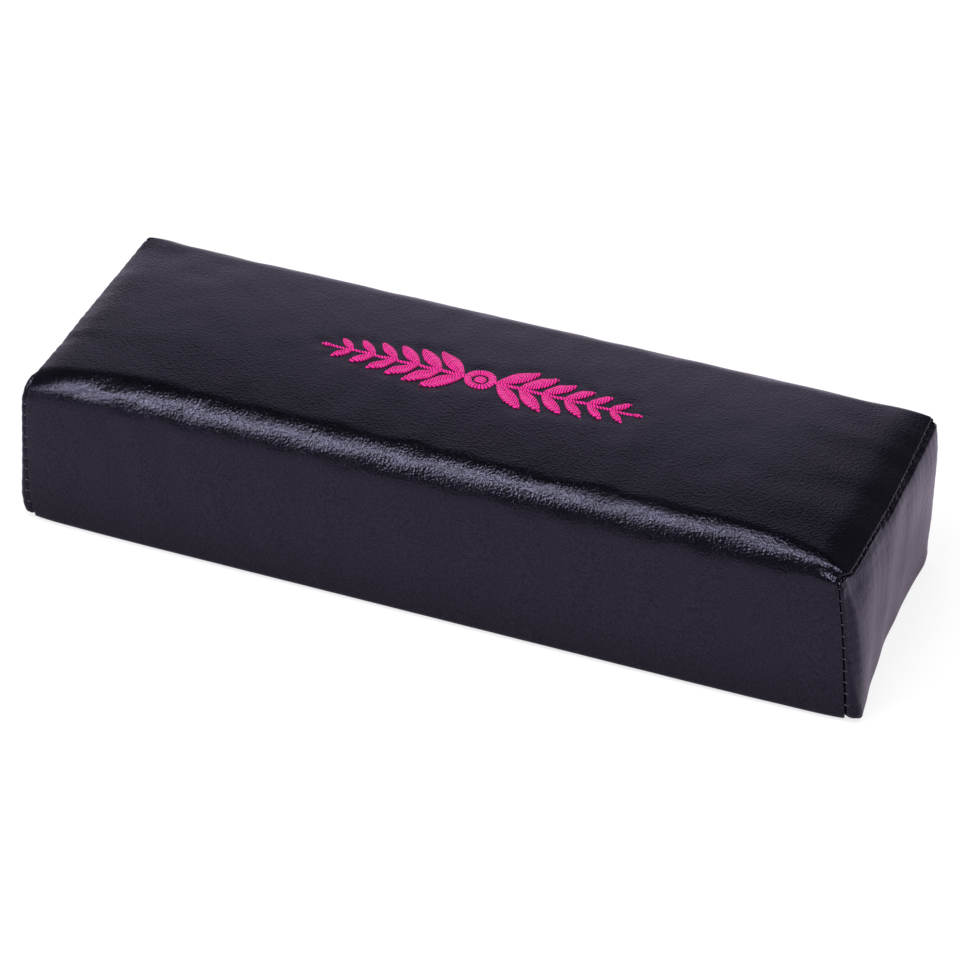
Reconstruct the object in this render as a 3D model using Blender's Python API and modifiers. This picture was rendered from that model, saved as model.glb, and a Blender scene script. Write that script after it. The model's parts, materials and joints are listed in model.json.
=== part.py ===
"""Manicure hand rest: a long box cushion of black imitation leather, built on a base board.

A foam core lies on a board with clipped corners. One panel of leather wraps the front, the top and
the back, two end panels are sewn to it with turned-in seams, and all three are turned under the
board. A dust cloth covers the turned-under hems, and one row of staples holds cloth and hems.

Lengths are in metres. +X runs along the rest, +Y from the front to the back, and +Z is up. The
origin is on the surface that the rest stands on, under the middle of the cushion.
"""

from math import asin, cos, pi, radians, sin, sqrt

import bmesh
import bpy
from mathutils import Matrix, Vector

# The whole rest
LENGTH = 0.300  # over the fullest part of both end panels
WIDTH = 0.100  # front face to back face
HEIGHT = 0.066  # standing surface to the crown of the top

# The cushion's form
CROWN_RADIUS = 0.350  # across the top
END_CROWN_RADIUS = 1.200  # the same, where the end seams hold it nearly flat
SHOULDER_RADIUS = 0.0130  # long top edges, along the middle
END_SHOULDER_RADIUS = 0.0070  # the same edges at the end seams
END_DROP = 0.0075  # how far an end seam pulls the top down
SIDE_DRAW = 0.0008  # how far it pulls the front and the back in
END_FADE = 0.050  # stretch of the length over which it does so
END_BULGE = 0.0018  # end panels, past their seams
END_TUCK = 0.0012  # lower edge of an end panel, drawn in under its middle

# Leather, seams and hems
LEATHER = 0.0010
CLEARANCE = 0.0003  # between pieces that lie on each other
FOAM_END_GAP = 0.0009  # more room at each end of the foam, beside the seam allowances
FOAM_EASE_LEAD = 0.0015  # the foam's ends start to ease this much earlier, as the top falls there
SEAM_ROLL = 0.0013  # outer radius of the leather where a seam turns it in
SEAM_ALLOWANCE = 0.0040  # leather past the roll, inside the cushion
HEM = 0.020  # leather turned under the board
HEM_RADIUS = 0.0020
HEM_MITRE_GAP = 0.0004

# Board, dust cloth and staples
BOARD = 0.0040
BOARD_EASE = 0.0010
CLOTH = 0.0005
CLOTH_MARGIN = 0.0050  # edge of the board to the edge of the cloth
STAPLE_CROWN = 0.0100
STAPLE_WIRE_WIDTH = 0.0010
STAPLE_WIRE = 0.0005
STAPLE_LEG = 0.0050
STAPLE_INSET = 0.0040  # edge of the cloth to the row of staples
STAPLES_LONG = 8  # along the front, and along the back
STAPLES_SHORT = 3  # along each end
STAPLE_PITCH_SHORT = 0.024

# Embroidered garland on the top
GARLAND_LENGTH = 0.116
GARLAND_RAISE = 0.0005
STEM_WIDTH = 0.0016
ROUNDEL_RADIUS = 0.0055
LEAF_PAIRS = 6  # on each side of the roundel
LEAF_LENGTH = 0.0160  # of the pair next to the roundel
LEAF_TAPER = 0.50  # share of that length that the last pair has lost
LEAF_SLIMNESS = 0.34  # width over length
LEAF_ANGLE = radians(42)  # between a leaf and the stem
LEAF_BITE = 0.0005  # overlap of a leaf's foot and the stem

# Facets
CROWN_STEPS = 4
SHOULDER_STEPS = 6  # even, so that an end panel's corner falls on a point
SIDE_STEPS = 3
HEM_ARC_STEPS = 2
HEM_STEPS = 1
LENGTH_STEPS = 7
LENGTH_CROWDING = 1.8  # over 1 sets the cross-sections closer near the ends
ROLL_STEPS = 3
LEAF_POINTS = 10
ROUNDEL_POINTS = 20
SMOOTH_ANGLE = radians(40)
SMALLEST_RADIUS = 0.0005  # of a shoulder deep inside the cushion
WELD = 1e-6  # points closer than this are one
MIRROR_WELD = 1e-5

# Worked out from the values above
SEAM_X = LENGTH / 2 - END_BULGE  # plane of the end panels at their seams
SEAM_Y = WIDTH / 2 - SIDE_DRAW  # half width at the ends
SEAM_TOP = HEIGHT - END_DROP
SEAM_TURN = 3 * pi / 4  # turns both leathers in until they lie side by side, between the two faces
SETBACK = SEAM_ROLL + (2 * SEAM_ROLL + CLEARANCE) / sqrt(2)  # flat leather stops this far short
WRAP_END = SEAM_X - SETBACK
SEAM_REACH = SETBACK + SEAM_ROLL + sqrt(2) * (SEAM_ALLOWANCE + CLEARANCE)
SKIN = LEATHER + CLEARANCE
HEM_Z = CLOTH + CLEARANCE  # underside of the turned-under leather
HEM_TOP = HEM_Z + HEM_RADIUS  # height where the faces start to turn under
BOARD_Z = HEM_Z + SKIN
FOAM_Z = BOARD_Z + BOARD + CLEARANCE
BOARD_HALF_LENGTH = SEAM_X - END_TUCK - SKIN
BOARD_HALF_WIDTH = SEAM_Y - SKIN
FOAM_EASE = SEAM_REACH - 2 * SKIN
OUTLINE_STEPS = CROWN_STEPS + SHOULDER_STEPS + SIDE_STEPS
CORNER_STEP = CROWN_STEPS + SHOULDER_STEPS // 2


def clear_scene():
    """Removes every object, so that the file holds the hand rest and nothing else."""
    for obj in list(bpy.data.objects):
        bpy.data.objects.remove(obj, do_unlink=True)


def new_collection(name):
    """A collection of that name in the scene."""
    made = bpy.data.collections.new(name)
    bpy.context.scene.collection.children.link(made)
    return made


def new_material(name, colour, roughness, metallic=0.0):
    """A Principled material with one linear RGB colour."""
    material = bpy.data.materials.new(name)
    material.use_nodes = True
    shader = material.node_tree.nodes["Principled BSDF"]
    shader.inputs["Base Color"].default_value = (*colour, 1.0)
    shader.inputs["Roughness"].default_value = roughness
    shader.inputs["Metallic"].default_value = metallic
    material.diffuse_color = (*colour, 1.0)
    return material


def add_object(name, bm, collection, material=None):
    """Turns the bmesh into an object of that name."""
    bmesh.ops.remove_doubles(bm, verts=bm.verts, dist=WELD)
    mesh = bpy.data.meshes.new(name)
    bm.to_mesh(mesh)
    bm.free()
    mesh.shade_smooth()
    mesh.set_sharp_from_angle(angle=SMOOTH_ANGLE)
    if material:
        mesh.materials.append(material)
    obj = bpy.data.objects.new(name, mesh)
    collection.objects.link(obj)
    return obj


def add_mirror(obj, along_x, along_y):
    """Completes a half or a quarter that is open at x = 0 or y = 0."""
    mirror = obj.modifiers.new("halves", "MIRROR")
    mirror.use_axis = (along_x, along_y, False)
    mirror.merge_threshold = MIRROR_WELD


def add_thickness(obj, thickness):
    """Gives a sheet its thickness on its inner side."""
    shell = obj.modifiers.new("thickness", "SOLIDIFY")
    shell.thickness = thickness
    shell.offset = -1
    shell.use_even_offset = True


def add_cut(obj, cutter):
    """Cuts the cutter's shape out of the object."""
    cut = obj.modifiers.new("cut", "BOOLEAN")
    cut.operation = "DIFFERENCE"
    cut.object = cutter


def add_sheet(bm, columns, rows, place):
    """Lays a grid of columns by rows cells into bm, with its point (i, j) at place(i, j)."""
    grid = bmesh.ops.create_grid(bm, x_segments=columns, y_segments=rows, size=1.0)
    for vert in grid["verts"]:
        i = round((vert.co.x + 1) / 2 * columns)
        j = round((vert.co.y + 1) / 2 * rows)
        vert.co = place(i, j)


def end_pull(x):
    """How much the end seam has taken hold of the form at x: 0 along the middle, 1 at the seam."""
    return min(1.0, max(0.0, (x - (WRAP_END - END_FADE)) / END_FADE)) ** 2


def outline(x, inset, floor):
    """Half of the cushion's cross-section at x, moved inwards by inset, down to the height floor.

    It runs from the middle of the crown over the shoulder and down the side. Each item is the
    point (y, z) and the outward normal (y, z) there.
    """
    pull = end_pull(x)
    shoulder = SHOULDER_RADIUS + (END_SHOULDER_RADIUS - SHOULDER_RADIUS) * pull
    radius = max(shoulder - inset, SMALLEST_RADIUS)
    crown = 1 / ((1 - pull) / CROWN_RADIUS + pull / END_CROWN_RADIUS) - inset
    half_width = WIDTH / 2 - SIDE_DRAW * pull - inset
    top = HEIGHT - END_DROP * pull - inset
    centre_y = half_width - radius
    centre_z = top - crown + sqrt((crown - radius) ** 2 - centre_y**2)
    lean = asin(centre_y / (crown - radius))

    points = []
    for k in range(CROWN_STEPS):
        angle = lean * k / CROWN_STEPS
        normal = Vector((sin(angle), cos(angle)))
        points.append((Vector((0, top - crown)) + crown * normal, normal))
    for k in range(SHOULDER_STEPS + 1):
        angle = lean + (pi / 2 - lean) * k / SHOULDER_STEPS
        normal = Vector((sin(angle), cos(angle)))
        points.append((Vector((centre_y, centre_z)) + radius * normal, normal))
    for k in range(1, SIDE_STEPS + 1):
        z = centre_z + (floor - centre_z) * k / SIDE_STEPS
        points.append((Vector((half_width, z)), Vector((1, 0))))
    return points


def swell(y, z):
    """How far an end panel stands out of the seam plane at (y, z): fullest high up, tucked in below."""
    root = 2 * (sqrt(END_BULGE**2 + END_BULGE * END_TUCK) - END_BULGE) / END_TUCK
    across = min(1.0, abs(y) / (SEAM_Y - SETBACK))
    down = min(1.0, max(0.0, (SEAM_TOP - SETBACK - z) / (SEAM_TOP - SETBACK - HEM_TOP)))
    return (1 - across**4) * 4 * END_BULGE / root**2 * down * (root - down)


def station(i, last):
    """Place along the length of cross-section i, from the middle to last."""
    return last * (1 - (1 - i / LENGTH_STEPS) ** LENGTH_CROWDING)


def patch_point(border, i, j):
    """Point (y, z) of a grid that fills half of an end outline, column i from the middle, row j up.

    The grid's top row and outer column follow the outline, and meet halfway round the shoulder.
    """
    corner = border[CORNER_STEP][0]
    top = border[0][0]
    foot = border[-1][0]
    side_rows = OUTLINE_STEPS - CORNER_STEP
    upper = border[i][0]
    outer = border[OUTLINE_STEPS - j][0]
    s = upper.x / corner.x
    t = (outer.y - foot.y) / (corner.y - foot.y) if j < side_rows else 1.0
    lower = Vector((foot.x * s, foot.y))
    inner = Vector((0, foot.y + (top.y - foot.y) * t))
    blend = (1 - t) * lower + t * upper + (1 - s) * inner + s * outer
    corners = (1 - s) * (1 - t) * Vector((0, foot.y)) + s * (1 - t) * foot
    corners += (1 - s) * t * top + s * t * corner
    return blend - corners


def roll(step):
    """Step of the path of a seam's roll and allowance, as (forward, inward) from where it starts."""
    angle = SEAM_TURN * min(step, ROLL_STEPS) / ROLL_STEPS
    forward = SEAM_ROLL * sin(angle)
    inward = SEAM_ROLL * (1 - cos(angle))
    if step > ROLL_STEPS:
        forward += SEAM_ALLOWANCE * cos(SEAM_TURN)
        inward += SEAM_ALLOWANCE * sin(SEAM_TURN)
    return forward, inward


def hem_path(step):
    """Step of a hem's path, as (inward, height): round the board's edge, then flat under it."""
    if step <= HEM_ARC_STEPS:
        angle = pi / 2 * step / HEM_ARC_STEPS
        return HEM_RADIUS * (1 - cos(angle)), HEM_TOP - HEM_RADIUS * sin(angle)
    share = (step - HEM_ARC_STEPS) / HEM_STEPS
    return HEM_RADIUS + (HEM - HEM_RADIUS) * share, HEM_Z


def build_wrap_cover(collection, material, staple_cutter):
    """The panel over front, top and back: a quarter, mirrored, then given its thickness."""
    sections = [outline(station(i, WRAP_END), 0, HEM_TOP) for i in range(LENGTH_STEPS + 1)]

    def face(i, j):
        point = sections[i][j][0]
        return Vector((station(i, WRAP_END), point.x, point.y))

    def seam(i, j):
        point, normal = sections[-1][j]
        forward, inward = roll(i)
        point = point - inward * normal
        return Vector((WRAP_END + forward, point.x, point.y))

    def hem(i, j):
        side = sections[i][-1][0]
        inward, z = hem_path(j)
        end = min(WRAP_END, SEAM_X - inward - HEM_MITRE_GAP)
        return Vector((station(i, end), side.x - inward, z))

    bm = bmesh.new()
    add_sheet(bm, LENGTH_STEPS, OUTLINE_STEPS, face)
    add_sheet(bm, ROLL_STEPS + 1, OUTLINE_STEPS, seam)
    add_sheet(bm, LENGTH_STEPS, HEM_ARC_STEPS + HEM_STEPS, hem)
    obj = add_object("wrap_cover", bm, collection, material)
    add_mirror(obj, True, True)
    add_thickness(obj, LEATHER)
    add_cut(obj, staple_cutter)


def build_end_panel(name, side, collection, material, staple_cutter):
    """An end panel: half of it, mirrored, then given its thickness. side is 1 at +X and -1 at -X."""
    border = outline(SEAM_X, SETBACK, HEM_TOP)
    hem_rows = HEM_ARC_STEPS + HEM_STEPS

    def face(i, j):
        point = patch_point(border, i, j)
        return Vector((SEAM_X + swell(point.x, point.y), point.x, point.y))

    def seam(i, j):
        point, normal = border[i]
        outward, back = roll(j)
        x = SEAM_X + swell(point.x, point.y) - back
        point = point + outward * normal
        return Vector((x, point.x, point.y))

    def hem(i, j):
        foot = patch_point(border, i, 0)
        inward, z = hem_path(hem_rows - j)
        flat = max(0.0, (inward - HEM_RADIUS) / (HEM - HEM_RADIUS))
        x = SEAM_X - inward + swell(foot.x, foot.y) * (1 - flat)
        end = min(border[-1][0].x, SEAM_Y - inward - HEM_MITRE_GAP)
        return Vector((x, foot.x / border[-1][0].x * end, z))

    bm = bmesh.new()
    add_sheet(bm, CORNER_STEP, OUTLINE_STEPS - CORNER_STEP, face)
    add_sheet(bm, OUTLINE_STEPS, ROLL_STEPS + 1, seam)
    add_sheet(bm, CORNER_STEP, hem_rows, hem)
    if side < 0:
        bmesh.ops.scale(bm, verts=bm.verts, vec=(-1, 1, 1))
        bmesh.ops.reverse_faces(bm, faces=bm.faces)
    obj = add_object(name, bm, collection, material)
    add_mirror(obj, False, True)
    add_thickness(obj, LEATHER)
    add_cut(obj, staple_cutter)


def build_foam_core(collection, material):
    """The foam block, with the cover's form inside its leather and its ends eased for the seams."""
    end = SEAM_X - SKIN - FOAM_END_GAP
    ease_start = end - FOAM_EASE - FOAM_EASE_LEAD
    places = [station(i, WRAP_END) for i in range(LENGTH_STEPS - 1)] + [ease_start, end]
    sections = [outline(x, SKIN, FOAM_Z) for x in places[:-1]]
    sections.append(outline(end, SKIN + FOAM_EASE, FOAM_Z))
    border = sections[-1]
    bottom_shares = [border[i][0].x / border[CORNER_STEP][0].x for i in range(CORNER_STEP + 1)]

    def place(i, point):
        swollen = swell(point.x, point.y) if i == len(places) - 1 else 0.0
        return Vector((places[i] + swollen, point.x, point.y))

    def upper(i, j):
        return place(i, sections[i][j][0])

    def lower(i, j):
        side = sections[i][-1][0]
        return place(i, Vector((side.x * bottom_shares[CORNER_STEP - j], FOAM_Z)))

    def cap(i, j):
        return place(len(places) - 1, patch_point(border, i, j))

    bm = bmesh.new()
    add_sheet(bm, len(places) - 1, OUTLINE_STEPS, upper)
    add_sheet(bm, len(places) - 1, CORNER_STEP, lower)
    add_sheet(bm, CORNER_STEP, OUTLINE_STEPS - CORNER_STEP, cap)
    obj = add_object("foam_core", bm, collection, material)
    add_mirror(obj, True, True)


def clipped_plate(half_length, half_width, bottom, thickness, clip):
    """A flat plate with its four corners clipped at 45 degrees, as a bmesh."""
    bm = bmesh.new()
    bmesh.ops.create_cube(bm, size=1.0)
    bmesh.ops.scale(bm, verts=bm.verts, vec=(2 * half_length, 2 * half_width, thickness))
    bmesh.ops.translate(bm, verts=bm.verts, vec=(0, 0, bottom + thickness / 2))
    upright = [e for e in bm.edges if abs(e.verts[0].co.z - e.verts[1].co.z) > thickness / 2]
    bmesh.ops.bevel(bm, geom=upright, offset=clip, segments=1, profile=0.5, affect="EDGES")
    return bm


def build_base_board(collection, material, staple_cutter):
    """The board under the foam. Its corners are clipped to clear the seam allowances."""
    clip = SEAM_REACH - (SEAM_X - BOARD_HALF_LENGTH) - (SEAM_Y - BOARD_HALF_WIDTH)
    bm = clipped_plate(BOARD_HALF_LENGTH, BOARD_HALF_WIDTH, BOARD_Z, BOARD, clip + CLEARANCE)
    obj = add_object("base_board", bm, collection, material)
    ease = obj.modifiers.new("eased edges", "BEVEL")
    ease.width = BOARD_EASE
    ease.segments = 1
    ease.limit_method = "ANGLE"
    add_cut(obj, staple_cutter)


def build_dust_cloth(collection, material, staple_cutter):
    """The cloth under the board, over the turned-under leather."""
    bm = clipped_plate(
        BOARD_HALF_LENGTH - CLOTH_MARGIN,
        BOARD_HALF_WIDTH - CLOTH_MARGIN,
        0,
        CLOTH,
        CLOTH_MARGIN,
    )
    obj = add_object("dust_cloth", bm, collection, material)
    add_cut(obj, staple_cutter)


def add_staple_shape(bm, matrix, clearance):
    """Adds one staple to bm, or the room it needs: a flat crown along X, with two legs up."""
    half = STAPLE_CROWN / 2 + clearance
    leg_start = STAPLE_CROWN / 2 - STAPLE_WIRE - clearance
    width = STAPLE_WIRE_WIDTH + 2 * clearance
    bottom = -clearance
    top = STAPLE_WIRE + clearance / 2
    made = bmesh.ops.create_cube(bm, size=1.0)["verts"]
    bmesh.ops.scale(bm, verts=made, vec=(2 * half, width, top - bottom))
    bmesh.ops.translate(bm, verts=made, vec=(0, 0, (bottom + top) / 2))
    for sign in (-1, 1):
        geom = list({f for v in made for f in v.link_faces})
        geom += list({e for v in made for e in v.link_edges}) + made
        cut = bmesh.ops.bisect_plane(
            bm, geom=geom, plane_co=(sign * leg_start, 0, 0), plane_no=(1, 0, 0)
        )
        made += [g for g in cut["geom_cut"] if isinstance(g, bmesh.types.BMVert)]
    faces = {f for v in made for f in v.link_faces}
    ends = [
        f for f in faces if f.normal.z > 0.5 and abs(f.calc_center_median().x) > leg_start
    ]
    raised = bmesh.ops.extrude_discrete_faces(bm, faces=ends)["faces"]
    legs = list({v for f in raised for v in f.verts})
    bmesh.ops.translate(bm, verts=legs, vec=(0, 0, STAPLE_LEG + clearance - top))
    bmesh.ops.transform(bm, matrix=matrix, verts=list(set(made + legs)))


def staple_places():
    """The matrix of every staple: rows along the front and the back, and along each end."""
    row_y = BOARD_HALF_WIDTH - CLOTH_MARGIN - STAPLE_INSET
    row_x = BOARD_HALF_LENGTH - CLOTH_MARGIN - STAPLE_INSET
    pitch = 2 * row_x / STAPLES_LONG
    places = []
    for side in (-1, 1):
        for k in range(STAPLES_LONG):
            x = (k - (STAPLES_LONG - 1) / 2) * pitch
            places.append(Matrix.Translation((x, side * row_y, 0)))
        for k in range(STAPLES_SHORT):
            y = (k - (STAPLES_SHORT - 1) / 2) * STAPLE_PITCH_SHORT
            turn = Matrix.Rotation(pi / 2, 4, "Z")
            places.append(Matrix.Translation((side * row_x, y, 0)) @ turn)
    return places


def build_staple_cutter(collection):
    """One helper with the room for every staple, to cut cloth, hems and board with."""
    bm = bmesh.new()
    for matrix in staple_places():
        add_staple_shape(bm, matrix, CLEARANCE)
    obj = add_object("staple_room", bm, collection)
    obj.hide_render = True
    obj.display_type = "WIRE"
    return obj


def build_staples(collection, material):
    """Every staple is its own object, and all of them share one mesh."""
    bm = bmesh.new()
    add_staple_shape(bm, Matrix.Identity(4), 0)
    first = add_object("staple_01", bm, collection, material)
    for number, matrix in enumerate(staple_places(), start=1):
        obj = first
        if number > 1:
            obj = bpy.data.objects.new(f"staple_{number:02d}", first.data)
            collection.objects.link(obj)
        obj.matrix_world = matrix


def add_flat_shape(bm, points, place, outline_of):
    """Adds a flat raised shape: a circle's points moved to outline_of(angle), then extruded up."""
    made = bmesh.ops.create_circle(bm, cap_ends=True, radius=1.0, segments=points)["verts"]
    for k, vert in enumerate(made):
        x, y = outline_of(2 * pi * k / points)
        vert.co = place @ Vector((x, y, 0))
    face = made[0].link_faces[0]
    if face.normal.z > 0:
        face.normal_flip()
    raised = bmesh.ops.extrude_face_region(bm, geom=[face], use_keep_orig=True)["geom"]
    tops = [g for g in raised if isinstance(g, bmesh.types.BMVert)]
    bmesh.ops.translate(bm, verts=tops, vec=(0, 0, GARLAND_RAISE))


def leaf_outline(length):
    """A pointed oval that starts at the origin and runs along +X."""

    def at(angle):
        half_width = LEAF_SLIMNESS * length / 2 * sin(angle) * abs(sin(angle)) ** 0.5
        return length / 2 * (1 - cos(angle)), -half_width

    return at


def build_garland(collection, material, cutters):
    """The raised embroidery: a roundel, with a stem and pairs of leaves on each side of it."""
    leaves = bmesh.new()
    first = ROUNDEL_RADIUS + LEAF_BITE
    pitch = (GARLAND_LENGTH / 2 - LEAF_LENGTH * (1 - LEAF_TAPER) - first) / (LEAF_PAIRS - 0.5)
    for side in (-1, 1):
        for k in range(LEAF_PAIRS):
            length = LEAF_LENGTH * (1 - LEAF_TAPER * k / (LEAF_PAIRS - 1))
            for up in (-1, 1):
                foot = Vector((side * (first + pitch * k), up * (STEM_WIDTH / 2 - LEAF_BITE), 0))
                angle = up * LEAF_ANGLE if side > 0 else pi - up * LEAF_ANGLE
                place = Matrix.Translation(foot) @ Matrix.Rotation(angle, 4, "Z")
                add_flat_shape(leaves, LEAF_POINTS, place, leaf_outline(length))
    stem_end = GARLAND_LENGTH / 2 - LEAF_LENGTH * (1 - LEAF_TAPER) / 2
    for side in (-1, 1):
        tip = Vector((side * (stem_end - LEAF_BITE), 0, 0))
        turn = 0 if side > 0 else pi
        place = Matrix.Translation(tip) @ Matrix.Rotation(turn, 4, "Z")
        length = GARLAND_LENGTH / 2 - stem_end + LEAF_BITE
        add_flat_shape(leaves, LEAF_POINTS, place, leaf_outline(length))
    leaf_helper = add_object("garland_leaves", leaves, cutters)

    stem = bmesh.new()
    bmesh.ops.create_cube(stem, size=1.0)
    bmesh.ops.scale(stem, verts=stem.verts, vec=(2 * stem_end, STEM_WIDTH, GARLAND_RAISE))
    bmesh.ops.translate(stem, verts=stem.verts, vec=(0, 0, GARLAND_RAISE / 2))
    stem_helper = add_object("garland_stem", stem, cutters)

    roundel = bmesh.new()
    bmesh.ops.create_cone(
        roundel,
        cap_ends=True,
        segments=ROUNDEL_POINTS,
        radius1=ROUNDEL_RADIUS,
        radius2=ROUNDEL_RADIUS,
        depth=GARLAND_RAISE,
    )
    bmesh.ops.translate(roundel, verts=roundel.verts, vec=(0, 0, GARLAND_RAISE / 2))
    obj = add_object("embroidered_garland", roundel, collection, material)
    obj.location.z = HEIGHT + CLEARANCE
    for helper in (stem_helper, leaf_helper):
        helper.location = obj.location
        helper.hide_render = True
        helper.display_type = "WIRE"
        union = obj.modifiers.new("union", "BOOLEAN")
        union.operation = "UNION"
        union.object = helper


def main():
    """Builds the hand rest."""
    clear_scene()
    parts = new_collection("manicure_hand_rest")
    cutters = new_collection("cutters")
    leather = new_material("black imitation leather", (0.022, 0.020, 0.029), 0.42)
    foam = new_material("cream foam", (0.72, 0.66, 0.50), 0.95)
    board = new_material("fibreboard", (0.42, 0.28, 0.16), 0.80)
    cloth = new_material("black nonwoven cloth", (0.012, 0.012, 0.013), 0.92)
    steel = new_material("galvanised steel wire", (0.60, 0.60, 0.60), 0.30, metallic=1.0)
    thread = new_material("magenta thread", (0.80, 0.012, 0.22), 0.45)

    staple_cutter = build_staple_cutter(cutters)
    build_base_board(parts, board, staple_cutter)
    build_foam_core(parts, foam)
    build_wrap_cover(parts, leather, staple_cutter)
    build_end_panel("left_end_panel", -1, parts, leather, staple_cutter)
    build_end_panel("right_end_panel", 1, parts, leather, staple_cutter)
    build_dust_cloth(parts, cloth, staple_cutter)
    build_staples(parts, steel)
    build_garland(parts, thread, cutters)


main()
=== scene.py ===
"""Looks of the manicure hand rest: sewn leather cover, embroidery, foam, board and underside.

Lengths are in metres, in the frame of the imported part: +X along the rest, +Y from the front face
to the back face, +Z up, with the origin on the table under the middle of the cushion.
"""

from __future__ import annotations

import json
import logging
import math
from collections.abc import Callable
from dataclasses import dataclass
from enum import Enum, IntEnum
from functools import cached_property

import bmesh
import bpy
import numpy as np
from mathutils import Matrix, Vector

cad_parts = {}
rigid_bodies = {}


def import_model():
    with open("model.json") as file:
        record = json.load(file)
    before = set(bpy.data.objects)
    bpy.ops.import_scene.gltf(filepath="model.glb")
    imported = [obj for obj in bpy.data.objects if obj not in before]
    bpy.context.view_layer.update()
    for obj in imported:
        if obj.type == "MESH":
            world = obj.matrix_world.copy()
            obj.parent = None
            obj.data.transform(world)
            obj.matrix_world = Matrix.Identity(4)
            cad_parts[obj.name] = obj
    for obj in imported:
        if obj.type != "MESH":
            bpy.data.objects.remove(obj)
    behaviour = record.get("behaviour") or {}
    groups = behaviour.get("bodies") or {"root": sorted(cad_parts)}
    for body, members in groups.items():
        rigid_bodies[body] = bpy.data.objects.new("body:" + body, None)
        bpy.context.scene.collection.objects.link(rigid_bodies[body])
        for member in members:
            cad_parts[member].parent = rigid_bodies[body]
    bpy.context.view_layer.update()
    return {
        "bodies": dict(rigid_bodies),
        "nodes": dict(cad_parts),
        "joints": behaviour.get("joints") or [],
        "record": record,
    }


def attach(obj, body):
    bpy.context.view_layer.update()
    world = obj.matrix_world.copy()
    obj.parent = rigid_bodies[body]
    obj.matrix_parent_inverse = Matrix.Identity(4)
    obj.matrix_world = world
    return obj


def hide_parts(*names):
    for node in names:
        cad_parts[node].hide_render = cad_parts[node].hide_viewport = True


LOG = logging.getLogger("hand_rest")

MM = 0.001
BODY = "root"


class End(Enum):
    """One of the two sewn ends, with the sign of its side of the rest."""

    LEFT = -1
    RIGHT = 1


class Seed(IntEnum):
    """First numbers of the random draws. An end adds its sign to its own."""

    SHEET = 7
    PUCKER = 11
    GATHER = 21
    FOLD = 31
    DIP = 41
    PANEL_GATHER = 51
    PANEL_FOLD = 61


def smooth_step(value: np.ndarray) -> np.ndarray:
    """Eases a value from 0 to 1 with level ends. Other values are clamped."""
    value = np.clip(value, 0.0, 1.0)
    return value * value * (3 - 2 * value)


def unit(vectors: np.ndarray) -> np.ndarray:
    """Scales vectors along the last axis to length 1."""
    return vectors / np.maximum(np.linalg.norm(vectors, axis=-1, keepdims=True), 1e-12)


def between(first: np.ndarray, second: np.ndarray, angle: np.ndarray) -> np.ndarray:
    """Directions turned from the first towards the second, by an angle for each."""
    return first * np.cos(angle)[:, None] + second * np.sin(angle)[:, None]


def chain(*spans: tuple[float, float, int]) -> np.ndarray:
    """Joins spans of even steps end to end, each given by its two ends and its count of steps."""
    parts = [np.linspace(start, stop, count + 1) for start, stop, count in spans]
    return np.concatenate(parts[:1] + [part[1:] for part in parts[1:]])


def mirrored(half: np.ndarray) -> np.ndarray:
    """Places on both sides of the middle, from those on one side, which start with 0."""
    return np.concatenate([-half[:0:-1], half])


def linear_colour(code: str) -> tuple[float, float, float, float]:
    """Turns an sRGB hex colour into the linear colour that a shader takes.

    Args:
        code: Six hex digits after a hash.

    Returns:
        Red, green, blue and an alpha of 1.
    """
    parts = [int(code[k : k + 2], 16) / 255 for k in (1, 3, 5)]
    red, green, blue = (c / 12.92 if c <= 0.04045 else ((c + 0.055) / 1.055) ** 2.4 for c in parts)
    return red, green, blue, 1.0


@dataclass(frozen=True)
class Curve:
    """A soft curve through knots: a value for each place."""

    places: tuple[float, ...]
    values: tuple[float, ...]
    softness: float = 0.1

    def at(self, place: np.ndarray) -> np.ndarray:
        """Reads the curve.

        Args:
            place: Where to read it. Past an end it keeps that end's value.

        Returns:
            The values there.
        """
        steps = np.linspace(self.places[0], self.places[-1], 801)
        table = np.interp(steps, self.places, self.values)
        reach = max(1, round(3 * self.softness / (steps[1] - steps[0])))
        kernel = np.exp(-0.5 * (np.arange(-reach, reach + 1) / (reach / 3)) ** 2)
        padded = np.pad(table, reach, mode="edge")
        table = np.convolve(padded, kernel / kernel.sum(), "valid")
        return np.interp(place, steps, table)


@dataclass(frozen=True)
class EndCurves:
    """One curve for the left end and one for the right end."""

    left: Curve
    right: Curve

    def at(self, x: np.ndarray | float, place: np.ndarray) -> np.ndarray:
        """Reads, at each place, the curve of the end that x lies towards."""
        return np.where(np.asarray(x) < 0, self.left.at(place), self.right.at(place))


@dataclass(frozen=True)
class Ripple:
    """Soft irregular waves along one direction, the same on each run."""

    wavelength: float
    seed: int
    parts: int = 7

    def at(self, place: np.ndarray) -> np.ndarray:
        """Reads the waves.

        Args:
            place: Distances along the direction.

        Returns:
            Heights between about -1 and 1.
        """
        rng = np.random.default_rng(self.seed)
        total = np.zeros_like(place, dtype=float)
        for _ in range(self.parts):
            length = self.wavelength * rng.uniform(0.6, 1.7)
            total += rng.uniform(0.5, 1.0) * np.sin(2 * np.pi * (place / length + rng.uniform()))
        return total / (0.75 * self.parts**0.5)


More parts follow.
